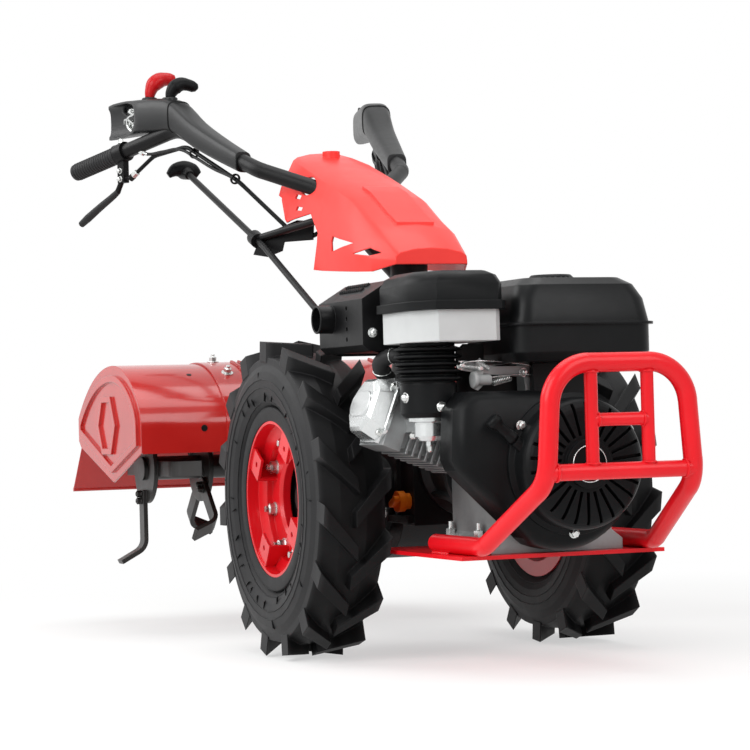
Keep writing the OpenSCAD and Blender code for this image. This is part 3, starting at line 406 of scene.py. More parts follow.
def ringGraph():
    # round ring of radius 1 x grow: weld beads, grip ribs and trim rings
    g = Graph("ring", finish=None, thick=0.12, flat=1.0)
    loop = g.swept(g.hoop(36, 1.0), g.hoop(10, g.given("thick")))
    return g.spread(g.stretched(loop, 1.0, 1.0, g.given("flat")), True)


def ridgeGraph():
    # small ridge with sloping flanks: louvres, cap ribs, cast ribs
    g = Graph("ridge", finish=None, long=0.03, wide=0.004, tall=0.003)
    values = {"Geometry": g.cone(4, 0.7071, 0.46, 1.0), "Rotation": (0.0, 0.0, math.radians(45))}
    wedge = g.node("GeometryNodeTransform", None, values)
    return g.spread(g.stretched(wedge, g.given("long"), g.given("wide"), g.given("tall")))


def springGraph():
    g = Graph("coilSpring", finish=None, turns=9.0, wide=0.004, long=0.024, wire=0.0007)
    wide = g.given("wide")
    values = {"Resolution": 14, "Rotations": g.given("turns"), "Start Radius": wide, "End Radius": wide,
              "Height": g.given("long")}
    coil = g.node("GeometryNodeCurveSpiral", None, values)
    return g.spread(g.swept(coil, g.hoop(6, g.given("wire")), True), True)


def holeShadeGraph():
    # painted shade: a black disc standing in for a hole's dark inside, with a thin lip
    g = Graph("punchedHole", finish=None, wide=0.01)
    half = g.given("wide") * 0.5
    lip = g.swept(g.hoop(24, half), g.hoop(6, 0.0006))
    return g.spread(g.joined(g.cylinder(20, half, 0.0012), lip))


bolts = boltGraph()
domes = domeGraph()
rings = ringGraph()
ridges = ridgeGraph()
springs = springGraph()
holeShades = holeShadeGraph()
print("geometry trees built")


def evaluated(carrier, name):
    # plain mesh of what a carrier shows; the carrier goes
    mesh = bpy.data.meshes.new_from_object(carrier.evaluated_get(bpy.context.evaluated_depsgraph_get()))
    mesh.name = name
    carrier.modifiers.clear()
    bpy.data.objects.remove(carrier)
    return mesh


def at(point, aim, side, grow=1.0):
    # where one copy goes: its point in millimetres, its Z, its X and its scale
    return spot(point), Vector(aim), Vector(side), grow


def scatter(name, graph, places, finish, body, **sizes):
    mesh = bpy.data.meshes.new(name + "Points")
    mesh.from_pydata([p[0] for p in places], [], [])
    for key, index in (("aim", 1), ("side", 2)):
        data = mesh.attributes.new(key, "FLOAT_VECTOR", "POINT").data
        for item, place in zip(data, places):
            item.vector = place[index].normalized()
    for item, place in zip(mesh.attributes.new("grow", "FLOAT", "POINT").data, places):
        item.value = place[3]
    carrier = bpy.data.objects.new(name + "Points", mesh)
    bpy.context.scene.collection.objects.link(carrier)
    modifier = carrier.modifiers.new("spread", "NODES")
    modifier.node_group = graph.tree
    for key, value in sizes.items():
        modifier[graph.sockets[key]] = value
    modifier[graph.sockets["finish"]] = finishes[finish]
    return keep(name, evaluated(carrier, name), finish, body, False)


def bolted(name, places, body="chassis", **sizes):
    return scatter(name, bolts, places, "zincBright", body, **sizes)


def pipe(name, points, radius, finish, body, taper=None):
    # a round lead, cable, wire or knob through points given in millimetres
    data = bpy.data.curves.new(name, "CURVE")
    data.dimensions = "3D"
    data.bevel_depth = radius / 1000
    data.bevel_resolution = 4
    data.resolution_u = 8
    data.use_fill_caps = True
    spline = data.splines.new("BEZIER")
    spline.bezier_points.add(len(points) - 1)
    for i, (knot, point) in enumerate(zip(spline.bezier_points, points)):
        knot.co = spot(point)
        knot.handle_left_type = "AUTO"
        knot.handle_right_type = "AUTO"
        knot.radius = taper[i] if taper else 1.0
    holder = bpy.data.objects.new(name + "Curve", data)
    bpy.context.scene.collection.objects.link(holder)
    mesh = evaluated(holder, name)
    for face in mesh.polygons:
        face.use_smooth = True
    return keep(name, mesh, finish, body)


def meshFrom(bm, name, limit=None):
    # plain mesh with its faces outwards, smooth where it bends less than the limit in degrees
    bmesh.ops.recalc_face_normals(bm, faces=bm.faces)
    mesh = bpy.data.meshes.new(name)
    bm.to_mesh(mesh)
    bm.free()
    if limit:
        mesh.shade_smooth()
        mesh.set_sharp_from_angle(angle=math.radians(limit))
    return mesh


def plate(name, outline, depth, matrix, finish, body, bevel=0.0008):
    # flat pressing: outline in millimetres on the matrix's XY plane, raised along its Z
    bm = bmesh.new()
    face = bm.faces.new([bm.verts.new((x / 1000, y / 1000, 0.0)) for x, y in outline])
    grown = bmesh.ops.extrude_face_region(bm, geom=[face])["geom"]
    raised = [v for v in grown if isinstance(v, bmesh.types.BMVert)]
    bmesh.ops.translate(bm, vec=(0, 0, depth / 1000), verts=raised)
    bmesh.ops.recalc_face_normals(bm, faces=bm.faces)
    bmesh.ops.bevel(bm, geom=list(bm.edges), offset=bevel, segments=2, affect="EDGES", profile=0.6)
    bm.transform(matrix)
    return keep(name, meshFrom(bm, name), finish, body)


def turned(name, place, aim, profile, finish, body, steps=32):
    # lathe shape: profile as (radius, along) from place towards aim
    way = Vector(aim).normalized()
    first = way.orthogonal().normalized()
    second = way.cross(first)
    bm = bmesh.new()
    rows = []
    for r, along in profile:
        centre = Vector(place) + way * along
        row = []
        for i in range(steps if r else 1):
            t = 2 * math.pi * i / steps
            row.append(bm.verts.new(spot(centre + (first * math.cos(t) + second * math.sin(t)) * r)))
        rows.append(row)
    for a, b in zip(rows, rows[1:]):
        for i in range(steps):
            quad = [a[i % len(a)], a[(i + 1) % len(a)], b[(i + 1) % len(b)], b[i % len(b)]]
            bm.faces.new(list(dict.fromkeys(quad)))
    bmesh.ops.remove_doubles(bm, verts=bm.verts, dist=0.000005)
    return keep(name, meshFrom(bm, name, 38), finish, body)


def reshaped(source, name, finish, limit, change):
    # joined copy of a CAD node's mesh, changed and shown in its place
    bm = bmesh.new()
    bm.from_mesh(nodes[source].data)
    bmesh.ops.remove_doubles(bm, verts=bm.verts, dist=0.00002)
    change(bm)
    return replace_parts(keep(name, meshFrom(bm, name, limit), finish, "chassis"), source)


def axes(x, y, z, point):
    return Matrix.Translation(point) @ Matrix((x, y, z)).transposed().to_4x4()


def facing(point, aim, side):
    z = Vector(aim).normalized()
    x = (Vector(side) - z * Vector(side).dot(z)).normalized()
    return axes(x, z.cross(x), z, spot(point))


def flipped(v):
    return Vector((v.x, -v.y, v.z))


def mirrored(places):
    # the same places on the other side of the machine
    return [(flipped(point), flipped(aim), flipped(side), grow) for point, aim, side, grow in places]


def onSide(places, s):
    # places are laid out on the right, where s is -1
    return places if s < 0 else mirrored(places)


def circle(centre, radius, count, start, aim, first, second):
    # places round a circle whose plane is spanned by two directions
    out = []
    for i in range(count):
        t = math.radians(start + 360 * i / count)
        way = first * math.cos(t) + second * math.sin(t)
        out.append(at(Vector(centre) + way * radius, aim, way))
    return out


blower = dict(start=-60.0, end=-150.0, pull=24.0)


def narrowBlower(bm):
    # the fan housing's carburettor side drawn in, so that the bowl is clear of it
    for v in bm.verts:
        y = (v.co.y - axleSpot.y) * 1000
        part = min(1.0, max(0.0, (y - blower["start"]) / (blower["end"] - blower["start"])))
        v.co.y += part * blower["pull"] / 1000


console = dict(end=(-925.0, 272.0, 728.0), along=(-0.953, 0.304, 0.0), inner=(-0.304, -0.953, 0.0), wall=4.0,
               cutNear=(125.0, -29.0), cutFar=(-46.0, 20.0), hollow=132.0, hollowSize=(56, 66), steps=4,
               around=32, squareness=0.55, seamAt=(-712.0, 203.0, 712.0, 54.4, 60.4), seam=1.3,
               bracket=((-22, -34), (-22, 4), (-8, 16), (16, 16), (24, 4), (20, -34)), bracketAt=(30, 26),
               plinths=((-804, -233, 760), (-740, -212, 753)),
               plinth=((0, -20), (15, -20), (15, -1.5), (13.5, 0), (0, 0)))
# place, width and height of each ring of an arm cover, from the front to the open end
coverRows = [(-489.5, 152.5, 603.9, 36, 38), (-563.8, 169.8, 635.3, 41, 44), (-640.8, 186.7, 670.7, 47, 51),
             (-712.0, 203.0, 712.0, 54, 60), (-765.0, 220.0, 721.0, 56, 66), (-845.0, 246.0, 725.0, 57, 69),
             (-925.0, 272.0, 728.0, 58, 72), (-968.8, 286.0, 729.6, 58.5, 73)]
# finish, radius and route of each wire in the hollow
consoleWires = [
    ("zincBright", 3.4,
     ((134, -6, 10), (96, 2, 14), (58, 10, 8), (24, 17, -6), (34, 19, -21), (70, 14, -32))),
    ("gripRubber", 3.6,
     ((134, 4, -4), (96, 6, -12), (60, 10, 0), (18, 18, 12), (8, 20, 22), (20, 19, 34))),
    ("zincBright", 2.6,
     ((134, -12, -12), (100, -8, -18), (70, 4, -14), (36, 14, -2), (12, 20, 2), (4, 25, -4))),
    ("zincBright", 2.8,
     ((134, 0, 18), (100, 4, 22), (70, 12, 18), (40, 18, 16), (30, 25, 20)))]


def inConsole(s, back, across, up=0.0):
    # millimetres forward of the CAD cover's end, towards the machine's middle and up
    p = Vector(console["end"]) - Vector(console["along"]) * back + Vector(console["inner"]) * across
    return Vector((p.x, s * p.y, p.z + up))


def coverRow(u):
    # smooth row between the given ones
    last = len(coverRows) - 1
    i = min(int(u), last)
    a, b, c, d = (coverRows[max(0, min(last, i + k))] for k in (-1, 0, 1, 2))
    t = u - i
    return [(2 * q + (r - p) * t + (2 * p - 5 * q + 4 * r - e) * t * t + (3 * q - p - 3 * r + e) * t ** 3) / 2
            for p, q, r, e in zip(a, b, c, d)]


def coverRing(s, row, inset=0.0):
    out = []
    for i in range(console["around"]):
        t = 2 * math.pi * i / console["around"]
        w, h = (math.copysign(abs(v) ** console["squareness"], v) for v in (math.cos(t), math.sin(t)))
        wide = Vector(console["inner"]) * (w * (row[3] / 2 - inset))
        p = Vector(row[:3]) + wide + Vector((0, 0, h * (row[4] / 2 - inset)))
        out.append((p.x, s * p.y, p.z))
    return out


def armCover(name, s):
    # hollow cover, its open end cut slantwise on the outer side
    c = console
    last = len(coverRows) - 1
    rowsOut = [coverRow(i / c["steps"]) for i in range(last * c["steps"] + 1)]
    backWall = Vector(c["end"]) - Vector(c["along"]) * c["hollow"]
    rowsIn = [[*backWall, *c["hollowSize"]]] + coverRows[last - 2:]
    bm = bmesh.new()
    outside = [[bm.verts.new(spot(p)) for p in coverRing(s, row)] for row in rowsOut]
    inside = [[bm.verts.new(spot(p)) for p in coverRing(s, row, c["wall"])] for row in rowsIn]
    n = c["around"]
    for skin in (outside, inside, [outside[-1], inside[-1]]):
        for a, b in zip(skin, skin[1:]):
            for i in range(n):
                bm.faces.new((a[i], a[(i + 1) % n], b[(i + 1) % n], b[i]))
    bm.faces.new(outside[0])
    bm.faces.new(inside[0])
    near = inConsole(s, *c["cutNear"])
    far = inConsole(s, *c["cutFar"])
    normal = (far - near).cross(upward).normalized()
    if normal.dot(inConsole(s, c["cutFar"][0], c["cutNear"][1]) - near) < 0:
        normal = -normal
    everything = list(bm.verts) + list(bm.edges) + list(bm.faces)
    cut = bmesh.ops.bisect_plane(bm, geom=everything, plane_co=spot(near), plane_no=normal, clear_outer=True)
    rim = [e for e in cut["geom_cut"] if isinstance(e, bmesh.types.BMEdge)]
    bmesh.ops.triangle_fill(bm, edges=rim, use_beauty=True)
    return keep(name, meshFrom(bm, name, 40), "coverPlastic", "handlebar")


def dressConsole():
    c = console
    for s, side in sides:
        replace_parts(armCover("armCover" + side, s), "cover_" + side.lower())
        # wires out of the back wall of the hollow
        for i, (finish, thick, run) in enumerate(consoleWires):
            pipe("consoleWire%s%d" % (side, i), [inConsole(s, *p) for p in run], thick, finish, "handlebar")
        # a bent bracket on the inner face of the long wall
        outward = -Vector((c["inner"][0], s * c["inner"][1], 0))
        face = facing(inConsole(s, *c["bracketAt"]), outward, upward)
        plate("consoleBracket" + side, c["bracket"], 4.0, face, "zincBright", "handlebar")
        ring = coverRing(s, c["seamAt"])
        pipe("coverSeam" + side, ring + ring[:1], c["seam"], "satinBlack", "handlebar")
    for i, place in enumerate(c["plinths"]):
        turned("leverPlinth%d" % i, place, upward, c["plinth"], "coverPlastic", "handlebar")


# each knob's foot, and its route from there with the radius at each point
levers = dict(
    Red=dict(foot=(-804, -233, 760), finish="redPlastic", node="console_lever_red",
             run=((0, 0, 0, 9), (0, 3, 14, 12), (1, 9, 26, 15.5), (2, 20, 34, 15.5), (2, 33, 37, 13),
                  (2, 43, 37, 12), (2, 50, 37, 9), (2, 53, 37, 3))),
    Black=dict(foot=(-740, -212, 753), finish="blackPlastic", node="console_lever_black",
               run=((0, 0, 0, 9), (0, 4, 11, 12), (1, 11, 20, 14.5), (2, 22, 26, 13.5), (3, 36, 25, 11.5),
                    (3, 46, 22, 11), (3, 53, 20, 8), (3, 56, 19, 3))))


def dressLevers():
    # fist-shaped knobs in place of the plain levers on the console
    for name, lever in levers.items():
        points = [Vector(lever["foot"]) + Vector(p[:3]) for p in lever["run"]]
        taper = [p[3] / 10 for p in lever["run"]]
        knob = pipe("consoleKnob" + name, points, 10.0, lever["finish"], "handlebar", taper)
        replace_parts(knob, lever["node"])


wheel = dict(discFace=249.0, boltCircle=93.0, boltCount=8, boltStart=12.0, midPlane=236.0,
             bolt=dict(head=0.017, tall=0.010, washer=0.024, stud=0.006),
             wallRings=((160.4, 55.7), (183.2, 63.6), (196.3, 63.7)),
             ribs=34, ribSeed=5, ribRadii=(168.0, 175.0, 203.0),
             wallReach=63.2, wallMid=190.0, wallSlope=0.17,
             bead=((152, 49.5), (150, 52.5), (144, 54), (133, 53.4), (128, 51.9), (128, 50.6), (150, 49),
                   (152, 49.5)))


def dressWheels():
    disc = circle((0, -wheel["discFace"], 0), wheel["boltCircle"], wheel["boltCount"], wheel["boltStart"],
                  rightward, ahead, upward)
    wallRings = []
    for r, y in wheel["wallRings"]:
        for way in (-1, 1):
            wallRings.append(at((0, -wheel["midPlane"] + way * y, 0), (0, way, 0), ahead, r / 1000))
    # short moulded ribs on the outer wall
    pick = random.Random(wheel["ribSeed"])
    ribs = []
    for i in range(wheel["ribs"]):
        t = 2 * math.pi * (i + pick.uniform(-0.3, 0.3)) / wheel["ribs"]
        r = pick.choice(wheel["ribRadii"])
        wall = wheel["midPlane"] + wheel["wallReach"] - abs(r - wheel["wallMid"]) * wheel["wallSlope"]
        away = Vector((math.cos(t), 0, math.sin(t)))
        around = Vector((-math.sin(t), 0, math.cos(t)))
        lean = (away + around * pick.uniform(-0.5, 0.5)).normalized()
        ribs.append(at(away * r + Vector((0, -wall, 0)), rightward, lean, pick.uniform(0.7, 1.2)))
    for s, side in sides:
        body = "wheel_" + side.lower()
        bolted("wheelBolts" + side, onSide(disc, s), body, **wheel["bolt"])
        middle = (0, s * wheel["midPlane"], 0)
        turned("beadRing" + side, middle, (0, s, 0), wheel["bead"], "tyreRubber", body, 72)
        scatter("wallRings" + side, rings, onSide(wallRings, s), "tyreRubber", body, thick=0.0062)
        scatter("wallRibs" + side, ridges, onSide(ribs, s), "blackPlastic", body, long=0.016, wide=0.0014,
                tall=0.003)


gearCase = dict(capFace=107.0, capCircle=54.0, bellFace=276.0, bellCircle=96.0, crank=53.0, columnX=-80.0,
                columnFace=164.0, columnCircle=54.0, tillerFace=-164.0, tillerCircle=75.0, tillerZ=45.0,
                feet=((302, -101, -58), (408, -101, -58)))


def dressDrive():
    g = gearCase
    cap = circle((0, -g["capFace"], 0), g["capCircle"], 6, 30, rightward, ahead, upward)
    flange = circle((g["columnX"], 0, g["columnFace"]), g["columnCircle"], 6, 0, upward, ahead, leftward)
    rear = circle((g["tillerFace"], 0, g["tillerZ"]), g["tillerCircle"], 6, 0, behind, leftward, upward)
    bolted("caseBolts", cap + mirrored(cap) + flange + rear, head=0.013, washer=0.018)
    bell = circle((g["bellFace"], 0, g["crank"]), g["bellCircle"], 5, 0, behind, leftward, upward)
    bolted("bellBolts", bell, head=0.010, tall=0.007, washer=0.0138)
    # studs that hold the crankcase's feet down
    studs = [at(foot, upward, (1, 0.4, 0)) for foot in g["feet"]]
    bolted("footStuds", studs + mirrored(studs), head=0.014, tall=0.010, washer=0.022, stud=0.010)


rotor = dict(x=-647.0, z=45.0, first=92.0, pitch=107.0, faceOut=11.0, boltRadii=(47.0, 60.0), lag=45)


def dressRotor():
    # two bolts in the root of each tine, four tines on each of three flanges a side
    places = []
    for s, side in sides:
        for k in range(3):
            for j in range(4):
                way = s if j % 2 == 0 else -s
                a = math.radians(180 + j * 90 - (2 - k) * rotor["lag"])
                out = Vector((math.sin(a), 0, math.cos(a)))
                y = s * (rotor["first"] + k * rotor["pitch"]) + way * rotor["faceOut"]
                for r in rotor["boltRadii"]:
                    places.append(at(Vector((rotor["x"], y, rotor["z"])) + out * r, (0, way, 0), out))
    scatter("tineBolts", bolts, places, "steelBlack", "rotor", head=0.011, tall=0.007, washer=0.013)


# crown and back are the height and radius of the hood's two arcs
hood = dict(x=-638.0, crown=(15.0, 226.0), back=(-119.0, 360.0), boltY=-178.0,
            bolts=(("crown", 64), ("crown", 86), ("back", 112)), lowHole=(-458.2, -251, 118), highHole=64.6,
            inset=3.2, ribs=(-146, -132), ribFrom=58, ribTo=84)


def onHood(arc, angle, y, lift=0.0):
    # a point of one arc, and the way out of it
    z, r = hood[arc]
    t = math.radians(angle)
    way = Vector((math.cos(t), 0, math.sin(t)))
    return Vector((hood["x"], y, z)) + way * (r + lift), way


def dressHood():
    h = hood
    seam = []
    for arc, angle in h["bolts"]:
        point, way = onHood(arc, angle, h["boltY"])
        seam.append(at(point, way, leftward))
    bolted("hoodBolts", seam + mirrored(seam), head=0.013, tall=0.008, washer=0.022, stud=0.004)
    # spare holes in the side hoods' fronts, painted as black discs of shade, each with a raised lip
    point, way = onHood("crown", h["highHole"], h["lowHole"][1], -h["inset"])
    spare = [at(h["lowHole"], ahead, leftward), at(point, way, leftward, 0.8)]
    scatter("hoodHoles", holeShades, spare + mirrored(spare), "satinBlack", "chassis", wide=0.011)
    # two pressed ridges on the crown of the centre hood
    ribs = []
    for y in h["ribs"]:
        for angle in range(h["ribFrom"], h["ribTo"], 2):
            point, way = onHood("crown", angle, y, 0.2)
            ribs.append(at(point, way, (-way.z, 0, way.x)))
    scatter("hoodRibs", ridges, ribs + mirrored(ribs), "tillerRed", "chassis", long=0.0085, wide=0.005,
            tall=0.004)


engine = dict(recoilX=541.0, recoilY=-4.0, crank=53.0, screwCircle=103.0, screwAngles=(145.5, -92.0, 28.0),
              hubX=595.2, glintRing=27.0, headX=324.0, coverFace=242.0, coverBolts=(41.04, 38.0), lean=21.0,
              bowl=(424.0, -184.3), sleeve=41.6, sleeveBolts=((-78, 157), (4, 142)), drainZ=85.2,
              bowlScrew=(398, -196, 100))


def leaned(x, y, z, lift=0.0):
    # a way in the leaning cylinder's own frame, or a point of it when lift is the crank's height
    t = math.radians(engine["lean"])
    return Vector((x, y * math.cos(t) + z * math.sin(t), lift - y * math.sin(t) + z * math.cos(t)))


def dressEngine():
    e = engine
    screws = []
    for angle in e["screwAngles"]:
        t = math.radians(angle)
        y = e["recoilY"] + e["screwCircle"] * math.cos(t)
        z = e["crank"] + e["screwCircle"] * math.sin(t)
        screws.append(at((e["recoilX"], y, z), ahead, leftward))
    bolted("recoilScrews", screws, head=0.011, tall=0.007, washer=0.015)
    # painted highlight: a thin bright metal ring on the inner edge of the recoil's raised lip stands in for
    # the glint along that edge
    glint = at((e["hubX"], e["recoilY"], e["crank"]), ahead, leftward, e["glintRing"] / 1000)
    scatter("recoilRing", rings, [glint], "zincBright", "chassis", thick=0.028)
    # flange bolts of the rocker cover
    cover = []
    x, z = e["coverBolts"]
    for i, k in ((-1, -1), (1, -1), (-1, 1), (1, 1)):
        point = leaned(e["headX"] + i * x, -e["coverFace"], k * z, e["crank"])
        cover.append(at(point, leaned(0, -1, 0), leaned(1, 0, 0)))
    bolted("rockerBolts", cover, head=0.008, tall=0.005, washer=0.011)
    sleeve = []
    for angle, z in e["sleeveBolts"]:
        t = math.radians(angle)
        way = Vector((math.cos(t), math.sin(t), 0))
        sleeve.append(at(Vector((*e["bowl"], z)) + way * e["sleeve"], way, upward))
    scatter("sleeveBolts", domes, sleeve, "zincBright", "chassis", wide=0.013, tall=0.007)
    drain = at((*e["bowl"], e["drainZ"]), downward, ahead)
    screw = at(e["bowlScrew"], (-0.6, -0.8, 0), upward, 0.9)
    bolted("bowlBolts", [drain, screw], head=0.010, tall=0.007, washer=0.012)


muffler = dict(top=338.0, chamferTop=-207.0, chamfer=(46.0, 28.0), bolt=(338.0, -238.0, 258.0),
               slotStart=182.0, slotStep=8.6, slotCount=11, slotRows=((0, 9.0), (4, 23.0)), slotLean=0.35,
               outlet=(204.1, -277, 284), seams=((160, -184, 232), (330, -184, 232)))


def dressMuffler():
    m = muffler
    wide, deep = m["chamfer"]
    slope = Vector((0, -deep, wide)).normalized()
    down = Vector((0, -wide, -deep)).normalized()
    slots = []
    for shift, drop in m["slotRows"]:
        for i in range(m["slotCount"]):
            edge = Vector((m["slotStart"] + i * m["slotStep"] + shift, m["chamferTop"], m["top"]))
            slots.append(at(edge + down * drop, slope, down + Vector((m["slotLean"], 0, 0))))
    scatter("mufflerLouvres", ridges, slots, "satinBlack", "chassis", long=0.010, wide=0.0034, tall=0.0036)
    bolted("mufflerBolt", [at(m["bolt"], ahead, upward)], head=0.010, tall=0.006, washer=0.015)
    # rolled lip round the outlet
    lip = at(m["outlet"], rightward, ahead, 0.0205)
    scatter("outletLip", rings, [lip], "satinBlack", "chassis", thick=0.09)
    seams = [at(point, downward, leftward) for point in m["seams"]]
    scatter("mufflerSeams", ridges, seams, "satinBlack", "chassis", long=0.118, wide=0.005, tall=0.005)


tank = dict(cap=(457.0, 7.7, 328.1), ribRadius=33.6, ribs=26)


def dressTank():
    ring = circle(tank["cap"], tank["ribRadius"], tank["ribs"], 0, upward, ahead, leftward)
    ribs = [(point, way, upward, grow) for point, aim, way, grow in ring]
    scatter("capRibs", ridges, ribs, "blackPlastic", "chassis", long=0.010, wide=0.0042, tall=0.0034)


bars = dict(gripEnd=(-986.0, -330.0, 633.0), gripWay=(-0.892, -0.411, -0.188), gripRadius=0.0164, ribs=17,
            ribStart=3.0, ribSpan=114.0, collarAt=123.0, collarRadius=0.0172, clamp=(-862.0, -273.0, 659.0),
            topScrew=19.2, sideScrew=6.9, screwDrops=(36, 52))


def dressBars():
    b = bars
    way = Vector(b["gripWay"]).normalized()
    end = Vector(b["gripEnd"])
    side = way.cross(upward).normalized()
    over = side.cross(way).normalized()
    ribs = []
    for i in range(b["ribs"]):
        back = b["ribStart"] + i * b["ribSpan"] / (b["ribs"] - 1)
        ribs.append(at(end - way * back, way, side, b["gripRadius"]))
    collar = [at(end - way * b["collarAt"], way, side, b["collarRadius"])]
    clamp = Vector(b["clamp"])
    screws = [at(clamp + over * b["topScrew"], over, way)]
    for drop in b["screwDrops"]:
        screws.append(at(clamp + Vector((0, 0, -drop)) - side * b["sideScrew"], -side, way, 0.9))
    for s, name in sides:
        scatter("gripRibs" + name, rings, onSide(ribs, s), "gripRubber", "handlebar", thick=0.075, flat=1.6)
        scatter("gripCollar" + name, rings, onSide(collar, s), "gripRubber", "handlebar", thick=0.16)
        bolted("leverScrews" + name, onSide(screws, s), "handlebar", head=0.009, tall=0.006, washer=0.013)


bumper = dict(x=686.0, crossZ=44.0, crossReach=103.0, postHalf=45.0, postLow=55.2, postHigh=185.8,
              middleReach=36.2, middleZ=117.5, crossBead=0.0124, bead=0.0102,
              footX=345, footY=141.0, footZ=-79.6, footHalf=8.5, lumps=9, lumpStep=6.5)


def dressBumper():
    b = bumper
    beads = []
    for s, side in sides:
        beads.append(at((b["x"], s * b["crossReach"], b["crossZ"]), leftward, ahead, b["crossBead"]))
        beads.append(at((b["x"], s * b["postHalf"], b["postLow"]), upward, ahead, b["bead"]))
        beads.append(at((b["x"], s * b["postHalf"], b["postHigh"]), upward, ahead, b["bead"]))
        beads.append(at((b["x"], s * b["middleReach"], b["middleZ"]), leftward, ahead, b["bead"]))
    scatter("weldBeads", rings, beads, "tubeRed", "chassis", thick=0.17)
    lumps = []
    for s, side in sides:
        for edge in (-1, 1):
            for i in range(b["lumps"]):
                point = (b["footX"] + i * b["lumpStep"], s * b["footY"] + edge * b["footHalf"], b["footZ"])
                lumps.append(at(point, (0, edge * 0.6, 0.8), ahead))
    scatter("footWelds", domes, lumps, "tubeRed", "chassis", wide=0.0075, tall=0.003)


# outlines are (left, up) on planes across the machine, routes start from the throttle plate's x
control = dict(
    x=452.0, thick=2.0, shroudX=426, bracketX=455,
    plate=((-36, 150.6), (6, 150.6), (6, 186), (-14, 201), (-88, 201), (-140, 211), (-150, 205), (-146, 196),
           (-92, 188), (-40, 184)),
    lever=((-126, 168), (-118, 165), (-110, 172), (-108, 206), (-114, 214), (-121, 206), (-122, 182)),
    bobbin=((0, 0), (12, 0), (12.6, 1), (12.6, 5), (11.6, 6.4), (8.4, 7.2), (8, 9), (8.2, 28), (6.8, 29.4),
            (0, 29.6)),
    rod=((8, -99, 184), (9, -70, 187), (9, -30, 187), (6, -8, 186), (3, -4, 180)),
    governor=((5, -142, 207), (9, -122, 209), (9, -70, 206), (7, -26, 197), (3, -22, 192)),
    shroud=((-140, 140), (-40, 152), (-40, 203), (-94, 203), (-94, 236), (-128, 236), (-140, 225)),
    bracket=((-38, 150.5), (-31.5, 158), (-31.5, 204.5), (61.5, 204.5), (61.5, 158), (68, 150.5)),
    coils=(((6, -142, 202), (0, 0.995, -0.1), 1.0), ((7, -96, 176), (0, 0.97, 0.24), 1.2),
           ((6, -120, 208), (0, 0.9, -0.43), 0.9)),
    bolts=((2, -41, 191), (2, -114, 198), (2, -144, 203)))


def dressControls():
    # throttle plate on the crankcase with its lever, springs and rods
    c = control

    def across(x):
        return facing((x, 0, 0), ahead, leftward)

    def fromPlate(x, y, z):
        return c["x"] + x, y, z

    plate("throttlePlate", c["plate"], c["thick"], across(c["x"]), "rawAlloy", "chassis", 0.0004)
    plate("throttleLever", c["lever"], c["thick"], across(c["x"] + 4), "palePlastic", "chassis", 0.0004)
    turned("throttleBobbin", fromPlate(8, -128, 181), leftward, c["bobbin"], "palePlastic", "chassis")
    pipe("throttleRod", [fromPlate(*p) for p in c["rod"]], 1.3, "zincBright", "chassis")
    pipe("governorRod", [fromPlate(*p) for p in c["governor"]], 1.2, "zincBright", "chassis")
    coils = [at(fromPlate(*point), aim, ahead, grow) for point, aim, grow in c["coils"]]
    scatter("throttleSprings", springs, coils, "zincBright", "chassis", turns=11.0, wide=0.0042, long=0.026,
            wire=0.0007)
    plate("shroudPlate", c["shroud"], 3.0, across(c["shroudX"]), "satinBlack", "chassis", 0.0006)
    plate("tankBracket", c["bracket"], 14.5, across(c["bracketX"]), "satinBlack", "chassis", 0.001)
    knobs = [at(fromPlate(*point), ahead, leftward) for point in c["bolts"]]
    bolted("throttleBolts", knobs, head=0.009, tall=0.006, washer=0.014)


spark = dict(
    boot=((312, -200, 187), (316, -214, 199), (326, -219, 213), (346, -206, 222), (366, -184, 214)),
    bootRadius=12.5, bootTaper=(0.9, 1.06, 1.08, 0.9, 0.72),
    shield=((317, -215, 200.5), (10, -5, 14), 0.0137), collar=((344, -207.5, 221.5), (20, 12, 1), 0.0118),
    lead=((362, -188, 216), (378, -170, 207), (392, -140, 196), (404, -110, 180), (412, -80, 158),
          (414, -60, 140)),
    leadRadius=4.2)


def dressSpark():
    # plug boot on the cylinder head, its bright shield rings and the lead
    pipe("sparkBoot", spark["boot"], spark["bootRadius"], "gripRubber", "chassis", spark["bootTaper"])
    shield, shieldWay, shieldSize = spark["shield"]
    collar, collarWay, collarSize = spark["collar"]
    places = [at(shield, shieldWay, leftward, shieldSize), at(collar, collarWay, upward, collarSize)]
    scatter("bootRings", rings, places, "zincBright", "chassis", thick=0.07)
    pipe("sparkLead", spark["lead"], spark["leadRadius"], "gripRubber", "chassis")


oilCap = dict(face=(121, -116.6, -8), along=(1, 0, 0.5), tall=9.0,
              wing=((-15, -3), (-11, -5), (11, -5), (15, -3), (15, 3), (11, 5), (-11, 5), (-15, 3)))


def dressDipstick():
    # wing of the orange oil cap
    base = facing(oilCap["face"], rightward, oilCap["along"])
    plate("oilWing", oilCap["wing"], oilCap["tall"], base, "orangePlastic", "chassis", 0.0014)


# routes here are given on the left side
handle = dict(
    clamp=(-862.0, 273.0, 659.0), way=(-0.892, 0.411, -0.188),
    sleeve=((16, -71), (30, -76), (70, -87), (110, -99), (132, -106)),   # along the grip, and up
    sleeveRadius=6.4, sleeveTaper=(0.9, 1.0, 1.12, 1.25, 1.05),
    idleCable=((-814, 251, 656), (-796, 243, 650), (-752, 226, 650), (-706, 207, 650), (-650, 192, 628),
               (-590, 176, 601), (-545, 160, 583), (-524, 153, 573)),
    clips=((-662, 191, 638), (-531, 155, 577)),
    ferrules=(((-838, 259, 612), (0.8, -0.4, 0.5), 1.0), ((-814, 251, 656), (0.9, -0.4, -0.3), 0.9)),
    knob=((-914, -165, 621), (-911, -151, 631), (-908, -133, 634), (-905, -117, 629), (-903, -106, 620)),
    knobTaper=(0.4, 0.86, 1.02, 0.96, 0.6), guide=(-494, -130, 463), guideWay=(0.55, -0.835, 0),
    guidePlate=((-5, -29), (6, -8), (12, 4), (46, 14), (97, 28), (134, 24), (131, -10), (66, -10), (61, -26),
                (27, -35)))


